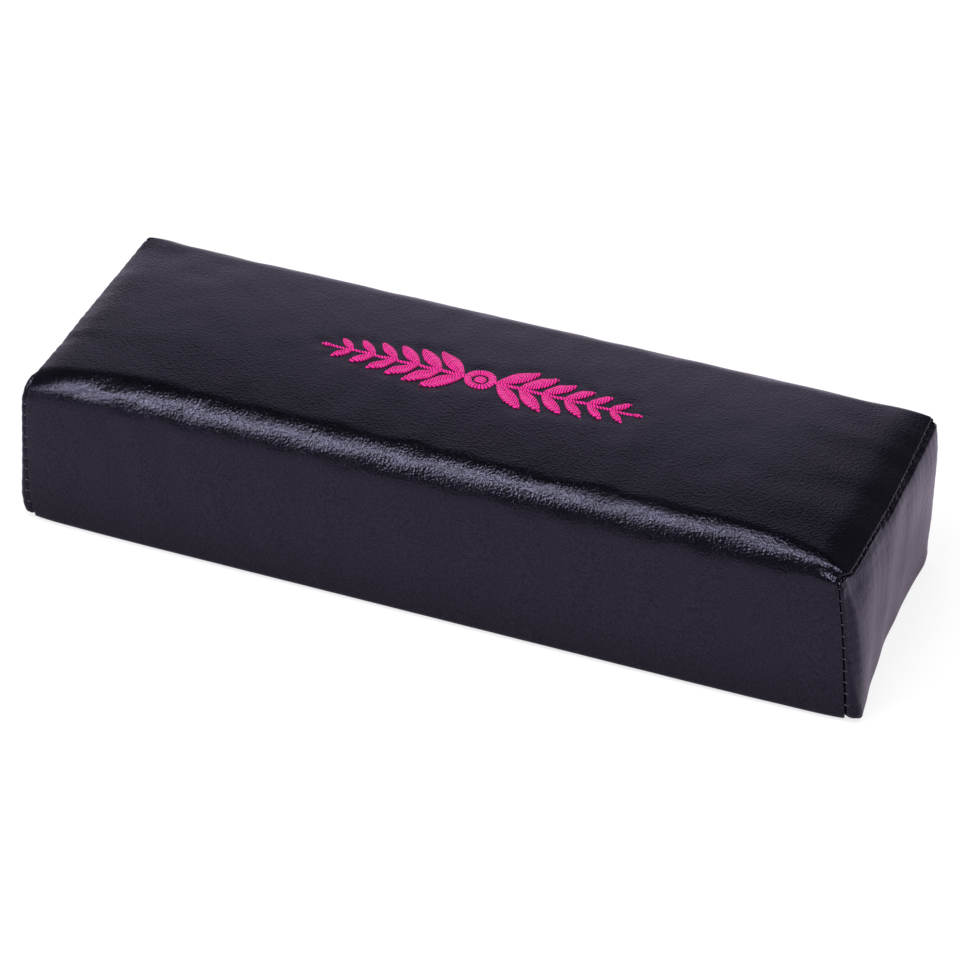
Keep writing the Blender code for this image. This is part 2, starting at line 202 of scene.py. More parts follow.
@dataclass(frozen=True)
class CushionForm:
    """The stuffed form under and over the leather, and the path of the two end seams.

    A place on it is x along the rest and t round the girth: t is 0 at the middle of the crown, 1
    where the shoulder starts, 2 where the side starts and 3 at the table, and it is negative on
    the front.
    """

    flat_end: float = 144.9 * MM
    half_width: float = 50.0 * MM
    height: float = 66.0 * MM
    foot: float = 2.8 * MM
    crown_radius: float = 350.0 * MM
    end_crown_radius: float = 1200.0 * MM
    shoulder: float = 13.0 * MM
    # Radii of the shoulder where it meets an end seam: on the front left and right, and on the back
    left_corner: float = 9.5 * MM
    right_corner: float = 5.5 * MM
    back_corner: float = 1.8 * MM
    fade: float = 50.0 * MM
    over: float = 12.0 * MM
    seam_fade: float = 26.0 * MM
    side_draw: float = 0.8 * MM
    side_over: float = 0.35 * MM
    # Fall of the top towards an end seam, in mm by place round the girth: all along the fade, and
    # more of it over the last few millimetres
    end_drop: EndCurves = EndCurves(
        Curve((-3.0, -1.3, 0.0, 0.8, 1.1, 3.0), (5.9, 5.9, 5.9, 5.3, 4.8, 4.8), 0.12),
        Curve((-3.0, -1.4, -0.9, 0.0, 0.8, 1.1, 3.0), (5.5, 5.5, 5.7, 5.9, 5.7, 5.5, 5.5), 0.12),
    )
    end_over: EndCurves = EndCurves(
        Curve((-3.0, -1.6, -0.9, 0.6, 1.0, 3.0), (1.0, 1.2, 2.0, 2.0, 0.7, 0.6), 0.12),
        Curve((-3.0, -1.6, -0.9, 0.6, 1.0, 3.0), (2.3, 2.6, 2.9, 2.0, 0.8, 0.6), 0.12),
    )
    # How far an end seam stands past its plane, in mm by place round the girth
    seam_path: EndCurves = EndCurves(
        Curve(
            (-3.0, -2.94, -2.86, -2.3, -2.1, -1.5, -1.0, -0.5, 0.2, 0.8, 1.2, 1.5, 2.1, 2.5, 3.0),
            (-1.0, 0.3, 0.9, 0.8, 0.5, -0.5, -1.0, -1.0, -0.5, -0.7, -1.6, -2.3, -1.2, -0.3, 0.0),
            0.05,
        ),
        Curve(
            (-3.0, -2.75, -2.44, -2.23, -2.06, -1.75, -1.5, -1.2, -1.0, -0.8, -0.42, 0.0, 0.6)
            + (0.95, 1.3, 1.5, 1.65, 1.85, 2.0, 2.15, 2.38, 2.67, 3.0),
            (1.2, -0.2, -1.7, -3.0, -4.4, -5.6, -5.2, -3.6, -2.6, -2.0, -1.2, -0.8, -1.1)
            + (-1.5, -1.8, -1.9, -2.6, -2.2, -1.2, -0.6, -1.2, -1.5, -0.9),
            0.05,
        ),
    )

    def nearness(self, x: np.ndarray, reach: float) -> np.ndarray:
        """How near x is to an end seam: 1 at the seam, and 0 from the given reach inwards."""
        return np.clip((np.abs(x) - (self.flat_end - reach)) / reach, 0.0, 1.0)

    def section(self, x: np.ndarray, t: np.ndarray, inset: float = 0.0) -> tuple[np.ndarray, np.ndarray]:
        """The cross-section of the smooth form.

        Args:
            x: Places along the rest.
            t: Places round the girth, of the same shape.
            inset: How far inside the leather's outer face.

        Returns:
            Points and outward normals, as (y, z) pairs along the last axis.
        """
        pull = self.nearness(x, self.fade) ** 2
        near = self.nearness(x, self.over) ** 2
        front = t < 0
        corner = np.where(front, np.where(x < 0, self.left_corner, self.right_corner), self.back_corner)
        radius = np.maximum(self.shoulder + (corner - self.shoulder) * pull - inset, 0.5 * MM)
        crown = 1 / ((1 - pull) / self.crown_radius + pull / self.end_crown_radius) - inset
        width = self.half_width - self.side_draw * pull - self.side_over * near - inset
        fall = self.end_drop.at(x, t) * pull + self.end_over.at(x, t) * near
        top = self.height - fall * MM - inset
        centre_y = width - radius
        centre_z = top - crown + np.sqrt((crown - radius) ** 2 - centre_y**2)
        lean = np.arcsin(centre_y / (crown - radius))
        a = np.abs(t)
        angle = np.where(a < 1, lean * a, lean + (np.pi / 2 - lean) * np.clip(a - 1, 0, 1))
        on_crown = a < 1
        y = np.where(on_crown, crown * np.sin(angle), centre_y + radius * np.sin(angle))
        z = np.where(on_crown, top - crown + crown * np.cos(angle), centre_z + radius * np.cos(angle))
        z = np.where(a > 2, centre_z + (self.foot - centre_z) * (a - 2), z)
        sign = np.where(front, -1.0, 1.0)
        points = np.stack([sign * y, z], axis=-1)
        normals = np.stack([sign * np.sin(angle), np.cos(angle)], axis=-1)
        return points, normals

    def outwards(self, x: np.ndarray, t: np.ndarray) -> np.ndarray:
        """Outward directions of the smooth form, square to X."""
        normals = self.section(x, t)[1]
        return np.concatenate([np.zeros(normals.shape[:-1] + (1,)), normals], axis=-1)

    def seam_shift(self, x: np.ndarray, t: np.ndarray) -> np.ndarray:
        """How far along X the seam has drawn the leather at (x, t), with its sign."""
        past = np.where(x < 0, -1.0, 1.0) * self.seam_path.at(x, t) * MM
        return past * smooth_step(self.nearness(x, self.seam_fade))


@dataclass(frozen=True)
class SeamPlan:
    """How the leather turns in at an end seam, and the thread that holds it.

    The wrap's edge rolls round one circle and the end panel's edge round another. The two circles
    touch at the stitches, and the angle of that contact says how far the wrap overhangs.
    """

    clearance: float = 0.05 * MM
    allowance: float = 0.9 * MM
    roll_steps: int = 9
    pitch: float = 4.5 * MM
    pucker: float = 0.26 * MM
    # Radius of the wrap's roll in mm, by place round the girth
    wrap_roll: Curve = Curve(
        (-3.0, -2.0, -1.5, -0.9, 0.9, 1.5, 2.0, 3.0),
        (0.5, 0.5, 0.6, 0.8, 0.8, 0.6, 0.5, 0.5),
    )
    # Radius of the end panel's roll in mm, by place round the girth
    panel_roll: EndCurves = EndCurves(
        Curve(
            (-3.0, -2.7, -2.3, -1.4, -1.0, 1.8, 2.3, 2.7, 3.0),
            (2.4, 1.7, 1.1, 1.1, 0.75, 0.75, 1.0, 1.5, 1.8),
        ),
        Curve(
            (-3.0, -2.75, -2.4, -1.8, 1.8, 2.3, 2.7, 3.0),
            (3.2, 2.2, 1.2, 0.75, 0.75, 1.0, 1.5, 1.8),
        ),
    )
    # Angle in degrees under the horizontal at which the wrap's edge meets the end panel's
    contact: EndCurves = EndCurves(
        Curve(
            (-3.0, -1.9, -1.2, -0.8, 1.7, 2.2, 3.0),
            (40.0, 36.0, 40.0, 78.0, 80.0, 60.0, 45.0),
        ),
        Curve(
            (-3.0, -1.9, -1.3, 0.9, 1.3, 1.8, 2.3, 3.0),
            (40.0, 42.0, 55.0, 60.0, 80.0, 80.0, 50.0, 45.0),
        ),
    )

    def pulse(self, distance: np.ndarray) -> np.ndarray:
        """How hard the thread pulls, by distance along the seam: 1 at a stitch, 0 between two."""
        return (0.5 + 0.5 * np.cos(2 * np.pi * distance / self.pitch)) ** 2


@dataclass(frozen=True)
class SeamPath:
    """One end seam worked out round the girth: the two circles and the directions at each place."""

    plan: SeamPlan
    edge: np.ndarray
    centre: np.ndarray
    outwards: np.ndarray
    level: np.ndarray
    tilt: np.ndarray
    contact: np.ndarray
    wrap_roll: np.ndarray
    panel_roll: np.ndarray
    pull: np.ndarray

    def on_wrap(self, angle: np.ndarray, radius: np.ndarray) -> np.ndarray:
        """Points round the wrap's circle, by angle from the outward direction towards the end."""
        return self.centre + between(self.outwards, self.level, angle) * radius[:, None]

    def on_panel(self, angle: np.ndarray, radius: np.ndarray) -> np.ndarray:
        """Points round the end panel's circle.

        Args:
            angle: From the level direction outwards, for each place.
            radius: Of the circle, for each place.

        Returns:
            The points.
        """
        gap = (self.wrap_roll + self.panel_roll + self.plan.clearance)[:, None]
        centre = self.centre + between(self.level, -self.outwards, self.contact) * gap
        return centre + between(self.level, self.outwards, angle) * radius[:, None]

    def roll(
        self,
        rim: np.ndarray,
        circle: Callable[[np.ndarray, np.ndarray], np.ndarray],
        radius: np.ndarray,
        angles: tuple[np.ndarray, np.ndarray],
        inwards: np.ndarray,
    ) -> np.ndarray:
        """Rolls a sheet's edge in, as far as the stitches, and adds its seam allowance.

        Args:
            rim: Where the roll starts.
            circle: Which circle it goes round.
            radius: Of that circle.
            angles: Where it starts on the circle, and where it ends.
            inwards: The way that the allowance lies.

        Returns:
            Points, by step of the roll and by place.
        """
        first, last = angles
        rings = [rim]
        for share in np.linspace(0, 1, self.plan.roll_steps + 1)[1:]:
            drawn_in = radius - 0.5 * self.pull * math.sin(math.pi * share)
            rings.append(circle(first + (last - first) * share, drawn_in))
        seam = rings[-1]
        rings += [seam + inwards * self.plan.allowance * share for share in (0.5, 1.0)]
        return np.stack(rings)


def spread(heights: np.ndarray, column: np.ndarray, row: np.ndarray) -> np.ndarray:
    """Reads a coarse grid of heights smoothly, as a cubic B-spline.

    Args:
        heights: The grid.
        column: Places along its first axis, in cells.
        row: Places along its second axis, in cells.

    Returns:
        The heights there.
    """
    total = np.zeros_like(column)
    parts = []
    for place in (column, row):
        whole = np.floor(place)
        f = place - whole
        weights = ((1 - f) ** 3, 3 * f**3 - 6 * f**2 + 4, -3 * f**3 + 3 * f**2 + 3 * f + 1, f**3)
        parts.append((whole.astype(int), [w / 6 for w in weights]))
    for i in range(4):
        for j in range(4):
            at_column = np.clip(parts[0][0] + i - 1, 0, heights.shape[0] - 1)
            at_row = np.clip(parts[1][0] + j - 1, 0, heights.shape[1] - 1)
            total += heights[at_column, at_row] * parts[0][1][i] * parts[1][1][j]
    return total


@dataclass(frozen=True)
class Stuffing:
    """Presses foam against sewn leather, as a cloth simulation on a coarse copy of the sheet.

    The seams and the feet are pinned and the foam holds the rest of the sheet softly. The sheet is
    a little larger than the foam, so it swells and folds softly between its seams.
    """

    pressure: float = 4.0
    slack: float = 0.0015
    hold: float = 0.35
    frames: int = 20
    cap: float = 0.5 * MM
    unevenness: float = 0.05 * MM
    quality: int = 5
    mass: float = 0.4
    stretch_stiffness: float = 30.0
    shear_stiffness: float = 15.0
    bending_stiffness: float = 2.0

    def heights(self, points: np.ndarray, normals: np.ndarray, pinned: np.ndarray) -> np.ndarray:
        """Simulates a sheet.

        Args:
            points: The sheet as columns by rows by 3.
            normals: Its outward directions.
            pinned: Which of the points are sewn down.

        Returns: How far each point has moved outwards.
        """
        rng = np.random.default_rng(int(Seed.SHEET))
        start = points + normals * (rng.uniform(-1, 1, pinned.shape) * self.unevenness * ~pinned)[..., None]
        bm = bmesh.new()
        add_sheet(bm, start)
        mesh = bpy.data.meshes.new("sheet under pressure")
        bm.to_mesh(mesh)
        bm.free()
        obj = bpy.data.objects.new("sheet under pressure", mesh)
        scene = bpy.context.scene
        scene.collection.objects.link(obj)
        order = self.match(mesh, start)
        group = obj.vertex_groups.new(name="held")
        for weight, chosen in ((1.0, pinned), (self.hold, ~pinned)):
            group.add([int(k) for k in order[chosen]], weight, "REPLACE")
        settings = obj.modifiers.new("leather under pressure", "CLOTH").settings
        settings.quality = self.quality
        settings.mass = self.mass
        settings.vertex_group_mass = "held"
        settings.tension_stiffness = self.stretch_stiffness
        settings.compression_stiffness = self.stretch_stiffness
        settings.shear_stiffness = self.shear_stiffness
        settings.bending_stiffness = self.bending_stiffness
        settings.shrink_min = -self.slack
        settings.use_pressure = True
        settings.uniform_pressure_force = self.pressure
        settings.effector_weights.gravity = 0.0
        facing = np.array([tuple(p.normal) for p in mesh.polygons]).mean(axis=0)
        if facing @ normals.reshape(-1, 3).mean(axis=0) < 0:
            mesh.flip_normals()
        for frame in range(1, self.frames + 1):
            scene.frame_set(frame)
        depsgraph = bpy.context.evaluated_depsgraph_get()
        moved = np.array([tuple(v.co) for v in obj.evaluated_get(depsgraph).data.vertices])[order]
        scene.frame_set(1)
        bpy.data.objects.remove(obj)
        bpy.data.meshes.remove(mesh)
        rise = ((moved - points) * normals).sum(axis=-1)
        free = rise[~pinned]
        LOG.info("sheet under pressure: %.2f to %.2f mm", free.min() / MM, free.max() / MM)
        rise = np.where(pinned, 0.0, rise - np.median(free))
        return np.clip(rise, -self.cap, self.cap)

    def match(self, mesh: bpy.types.Mesh, points: np.ndarray) -> np.ndarray:
        """Finds the mesh's vertex for each point of the grid.

        Args:
            mesh: The grid's mesh.
            points: Its points as columns by rows by 3.

        Returns:
            Vertex numbers, columns by rows.
        """
        placed = np.array([tuple(v.co) for v in mesh.vertices])
        flat = points.astype(np.float32).astype(float).reshape(-1, 3)
        nearest = [int(np.argmin(((placed - point) ** 2).sum(axis=1))) for point in flat]
        return np.array(nearest).reshape(points.shape[:2])


def add_sheet(bm: bmesh.types.BMesh, points: np.ndarray) -> None:
    """Lays a grid in a mesh, with its vertices at the given points.

    Args:
        bm: The mesh.
        points: An array of columns by rows by 3.
    """
    columns, rows = points.shape[0] - 1, points.shape[1] - 1
    grid = bmesh.ops.create_grid(bm, x_segments=columns, y_segments=rows, size=1.0)
    for vert in grid["verts"]:
        i = round((vert.co.x + 1) / 2 * columns)
        j = round((vert.co.y + 1) / 2 * rows)
        vert.co = Vector(points[i, j])


def finish_sheet(bm: bmesh.types.BMesh, outward: Vector, near: Vector) -> None:
    """Merges the grids of a sheet and turns its faces outwards.

    Args:
        bm: The mesh.
        outward: The outward direction at one place.
        near: That place.
    """
    bmesh.ops.remove_doubles(bm, verts=bm.verts, dist=2e-6)
    bmesh.ops.recalc_face_normals(bm, faces=bm.faces)
    nearest = min(bm.faces, key=lambda face: (face.calc_center_median() - near).length)
    if nearest.normal.dot(outward) < 0:
        bmesh.ops.reverse_faces(bm, faces=bm.faces)


def add_piece(
    name: str, bm: bmesh.types.BMesh, material: bpy.types.Material
) -> bpy.types.Object:
    """Turns a mesh into a finished piece that rides on the part.

    Args:
        name: The piece's name.
        bm: Its mesh, which is freed.
        material: Its finish.

    Returns:
        The object.
    """
    mesh = bpy.data.meshes.new(name)
    bm.to_mesh(mesh)
    bm.free()
    mesh.shade_smooth()
    mesh.materials.append(material)
    obj = bpy.data.objects.new(name, mesh)
    bpy.context.scene.collection.objects.link(obj)
    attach(obj, BODY)
    return obj


def add_wall(obj: bpy.types.Object, thickness: float) -> None:
    """Gives a leather sheet its thickness on its inner side.

    Args:
        obj: The sheet.
        thickness: Of the leather.
    """
    wall = obj.modifiers.new("leather thickness", "SOLIDIFY")
    wall.thickness = thickness
    wall.offset = -1


class Shading:
    """A node tree in the making. Its methods add nodes and return their output sockets."""

    def __init__(self, tree: bpy.types.NodeTree) -> None:
        """Takes the tree of a material or of the world."""
        self.tree = tree

    @cached_property
    def place(self) -> bpy.types.NodeSocket:
        """The place on the piece, in metres."""
        return self.add("TexCoord", output="Object")

    def give(self, socket: bpy.types.NodeSocket, value: object) -> None:
        """Links an output to an input, or writes a plain value there.

        Args:
            socket: The input.
            value: An output socket or a value.
        """
        if isinstance(value, bpy.types.NodeSocket):
            self.tree.links.new(value, socket)
        else:
            socket.default_value = value

    def add(
        self,
        kind: str,
        inputs: dict[str | int, object] | None = None,
        output: str | int = 0,
        **settings: object,
    ) -> bpy.types.NodeSocket:
        """Adds a node.

        Args:
            kind: The node's type, without the ShaderNode before it.
            inputs: Values for its inputs, or sockets to link to them.
            output: Which of its outputs to return.
            **settings: Attributes of the node.

        Returns:
            The output.
        """
        node = self.tree.nodes.new("ShaderNode" + kind)
        for name, value in settings.items():
            setattr(node, name, value)
        for key, value in (inputs or {}).items():
            self.give(node.inputs[key], value)
        return node.outputs[output]

    def noise(self, size: float, detail: float, roughness: float = 0.5) -> bpy.types.NodeSocket:
        """Noise with patches of the given size in metres."""
        inputs = {"Vector": self.place, "Scale": 1 / size, "Detail": detail, "Roughness": roughness}
        return self.add("TexNoise", inputs, "Fac")

    def cells(self, size: float, randomness: float = 1.0, **settings: object) -> bpy.types.NodeSocket:
        """Distance from the middles of cells of the given size in metres."""
        inputs = {"Vector": self.place, "Scale": 1 / size, "Randomness": randomness}
        return self.add("TexVoronoi", inputs, "Distance", **settings)

    def bump(
        self,
        height: bpy.types.NodeSocket,
        strength: float,
        depth: float,
        over: bpy.types.NodeSocket | None = None,
    ) -> bpy.types.NodeSocket:
        """Adds relief to the surface.

        Args:
            height: The relief's heights, from 0 to 1.
            strength: The share of it that shows.
            depth: Of the relief, in metres.
            over: The bump that it lies on, if any.

        Returns:
            The normals.
        """
        inputs = {"Strength": strength, "Distance": depth, "Height": height}
        if over:
            inputs["Normal"] = over
        return self.add("Bump", inputs)

    def span(
        self,
        value: bpy.types.NodeSocket,
        source: tuple[float, float],
        target: tuple[float, float] = (0.0, 1.0),
        **settings: object,
    ) -> bpy.types.NodeSocket:
        """Maps one range of values to another, held at its ends.

        Args:
            value: The values.
            source: Their range.
            target: The range to map it to.
            **settings: Attributes of the node.

        Returns:
            The mapped values.
        """
        inputs = {"Value": value, "From Min": source[0], "From Max": source[1]}
        inputs |= {"To Min": target[0], "To Max": target[1]}
        return self.add("MapRange", inputs, "Result", **settings)

    def shades(self, share: bpy.types.NodeSocket, first: str, second: str) -> bpy.types.NodeSocket:
        """Mixes two hex colours by the share of the second."""
        inputs = {"Factor": share, "A": linear_colour(first), "B": linear_colour(second)}
        return self.add("Mix", inputs, "Result", data_type="RGBA")

    def reckon(self, operation: str, *values: object) -> bpy.types.NodeSocket:
        """Works out one operation on values or sockets."""
        return self.add("Math", dict(enumerate(values)), operation=operation)

    def ray(self, kind: str) -> bpy.types.NodeSocket:
        """1 for rays of one kind and 0 for others: Camera, Diffuse, Glossy or Transmission."""
        return self.add("LightPath", output=f"Is {kind} Ray")


def new_material(name: str) -> tuple[bpy.types.Material, Shading, bpy.types.Node]:
    """Starts a node material.

    Args:
        name: What the real material is.

    Returns:
        The material, its nodes in the making, and its Principled shader.
    """
    material = bpy.data.materials.new(name)
    material.use_nodes = True
    return material, Shading(material.node_tree), material.node_tree.nodes["Principled BSDF"]


@dataclass(frozen=True)
class Finish:
    """A procedural material. Each kind of finish draws its own."""

    name: str

    def draw(self, shading: Shading) -> dict[str, object]:
        """Values or sockets for the Principled shader's inputs."""
        raise NotImplementedError

    def build(self) -> bpy.types.Material:
        """Makes the material.

        Returns:
            The material.
        """
        material, shading, shader = new_material(self.name)
        for key, value in self.draw(shading).items():
            shading.give(shader.inputs[key], value)
        return material


@dataclass(frozen=True)
class ImitationLeather(Finish):
    """Semi-gloss black imitation leather: a knitted cloth under a grained and lacquered PU film.

    It gives the eye a nearly black, slightly violet face with broad reflections, and a fine
    speckle where a lamp is mirrored.
    """

    name: str = "black_pu_leather"
    dark: str = "#030204"
    light: str = "#07060a"
    gloss_tint: str = "#e2e2ff"
    roughness: float = 0.20
    ior: float = 1.47
    grain: float = 0.76 * MM
    grain_depth: float = 0.16 * MM
    lacquer_grain: float = 0.60 * MM
    film_waves: float = 1.6 * MM
    worn_patch: float = 40 * MM

    def draw(self, shading: Shading) -> dict[str, object]:
        """Draws grain pebbles, the lacquer's finer texture, and soft waves of the film.

        Args:
            shading: The nodes in the making.

        Returns:
            The shader's inputs.
        """
        pebbles = shading.cells(self.grain, feature="SMOOTH_F1")
        fine = shading.noise(self.lacquer_grain, 2.0, 0.6)
        bump = shading.bump(pebbles, 0.8, self.grain_depth)
        bump = shading.bump(fine, 0.6, self.grain_depth, bump)
        bump = shading.bump(shading.noise(self.film_waves, 1.0), 0.14, self.grain_depth, bump)
        # The lacquer is a little duller in patches, from handling
        patches = shading.noise(self.worn_patch, 3.0, 0.55)
        dull = (self.roughness - 0.03, self.roughness + 0.04)
        return {
            "Base Color": shading.shades(pebbles, self.light, self.dark),
            "Roughness": shading.span(patches, (0.3, 0.7), dull),
            "Normal": bump,
            "IOR": self.ior,
            "Specular Tint": linear_colour(self.gloss_tint),
            # It is thinner in the grain's valleys, so they mirror less
            "Specular IOR Level": shading.span(fine, (0.35, 0.65), (0.36, 0.66)),
        }


@dataclass(frozen=True)
class SewingThread(Finish):
    """Black bonded polyester thread: twisted, a little waxy, greyer than the leather in the light."""

    name: str = "black_sewing_thread"
    shadow: str = "#1d1c21"
    colour: str = "#302e36"
    twist: float = 0.5 * MM

    def draw(self, shading: Shading) -> dict[str, object]:
        """Draws the twist of the thread.

        Args:
            shading: The nodes in the making.

        Returns:
            The shader's inputs.
        """
        inputs = {"Vector": shading.place, "Scale": 2 / (6.28 * self.twist)}
        inputs |= {"Distortion": 1.5, "Detail": 2.0}
        turns = shading.add("TexWave", inputs, "Fac", bands_direction="DIAGONAL")
        return {
            "Base Color": shading.shades(turns, self.shadow, self.colour),
            "Normal": shading.bump(turns, 0.7, 0.05 * MM),
            "Roughness": 0.38,
            "Sheen Weight": 0.3,
        }


@dataclass(frozen=True)
class EmbroideryThread(Finish):
    """Magenta trilobal polyester embroidery thread in satin stitch: bright, silky, finely ribbed."""

    name: str = "magenta_embroidery_thread"
    # Colours of the painted shade in the grooves between strands, and of the thread itself
    deep: str = "#5c0330"
    bright: str = "#fb2298"
    pitch: float = 1.05 * MM

    def draw(self, shading: Shading) -> dict[str, object]:
        """Draws strands of a few threads, which follow the piece's own thread attribute.

        Args:
            shading: The nodes in the making.

        Returns:
            The shader's inputs.
        """
        # The attribute counts millimetres across the strands, and a wave of scale 1 has a period
        # of a tenth of pi
        inputs = {
            "Vector": shading.add("Attribute", output="Vector", attribute_name="thread"),
            "Scale": 0.314 / (self.pitch / MM),
            "Distortion": 1.6,
            "Detail": 2.0,
            "Detail Scale": 2.5,
        }
        ribs = shading.add("TexWave", inputs, "Fac", bands_direction="X")
        return {
            # The grooves between the strands are darkened with painted shade
            "Base Color": shading.shades(shading.span(ribs, (0.05, 0.70)), self.deep, self.bright),
            "Normal": shading.bump(ribs, 1.0, 0.35 * MM),
            "Roughness": 0.50,
            "Specular IOR Level": 0.25,
            "Sheen Weight": 0.05,
        }


@dataclass(frozen=True)
class OpenFoam(Finish):
    """Cream polyurethane foam, cut from a block: matt, with fine open cells."""

    name: str = "cream_pu_foam"
    cell: float = 0.9 * MM

    def draw(self, shading: Shading) -> dict[str, object]:
        """Draws the open cells.

        Args:
            shading: The nodes in the making.

        Returns:
            The shader's inputs.
        """
        cells = shading.cells(self.cell)
        return {
            # The cells' hollows are darker: painted shade
            "Base Color": shading.shades(cells, "#cbb98a", "#eee2c2"),
            "Normal": shading.bump(cells, 0.8, 0.3 * MM),
            "Roughness": 0.95,
        }


@dataclass(frozen=True)
class Fibreboard(Finish):
    """Raw hardboard, pressed from wood fibre: brown, matt, flecked."""

    name: str = "raw_fibreboard"
    fleck: float = 1.5 * MM

    def draw(self, shading: Shading) -> dict[str, object]:
        """Draws the flecks of fibre.

        Args:
            shading: The nodes in the making.

        Returns:
            The shader's inputs.
        """
        flecks = shading.noise(self.fleck, 5.0, 0.7)
        return {
            "Base Color": shading.shades(flecks, "#7d5a3a", "#b38a60"),
            "Normal": shading.bump(flecks, 0.4, 0.1 * MM),
            "Roughness": 0.8,
        }


@dataclass(frozen=True)
class NonwovenCloth(Finish):
    """Black spunbond polypropylene cloth, point-bonded with hot pins: matt, with a grid of dimples."""

    name: str = "black_spunbond_cloth"
    bond_pitch: float = 1.6 * MM
    fibre: float = 0.4 * MM

    def draw(self, shading: Shading) -> dict[str, object]:
        """Draws the bond points, and the fibres between them.

        Args:
            shading: The nodes in the making.

        Returns:
            The shader's inputs.
        """
        points = shading.cells(self.bond_pitch, 0.15)
        fibres = shading.noise(self.fibre, 4.0, 0.75)
        dimples = shading.span(points, (0.15, 0.4), interpolation_type="SMOOTHSTEP")
        bonds = shading.bump(dimples, 0.7, 0.15 * MM)
        return {
            "Base Color": shading.shades(fibres, "#111114", "#2c2c30"),
            "Normal": shading.bump(fibres, 0.5, 0.08 * MM, bonds),
            "Roughness": 0.9,
            "Sheen Weight": 0.2,
        }


@dataclass(frozen=True)
class GalvanisedWire(Finish):
    """Galvanised steel wire, drawn flat: grey metal with a fine spangle of zinc."""

    name: str = "galvanised_staple_wire"
    spangle: float = 0.8 * MM

    def draw(self, shading: Shading) -> dict[str, object]:
        """Draws the spangle.

        Args:
            shading: The nodes in the making.

        Returns:
            The shader's inputs.
        """
        spangle = shading.noise(self.spangle, 3.0)
        return {
            "Base Color": shading.shades(spangle, "#9a9b9d", "#c9cacb"),
            "Roughness": shading.span(spangle, (0.0, 1.0), (0.25, 0.45)),
            "Metallic": 1.0,
        }


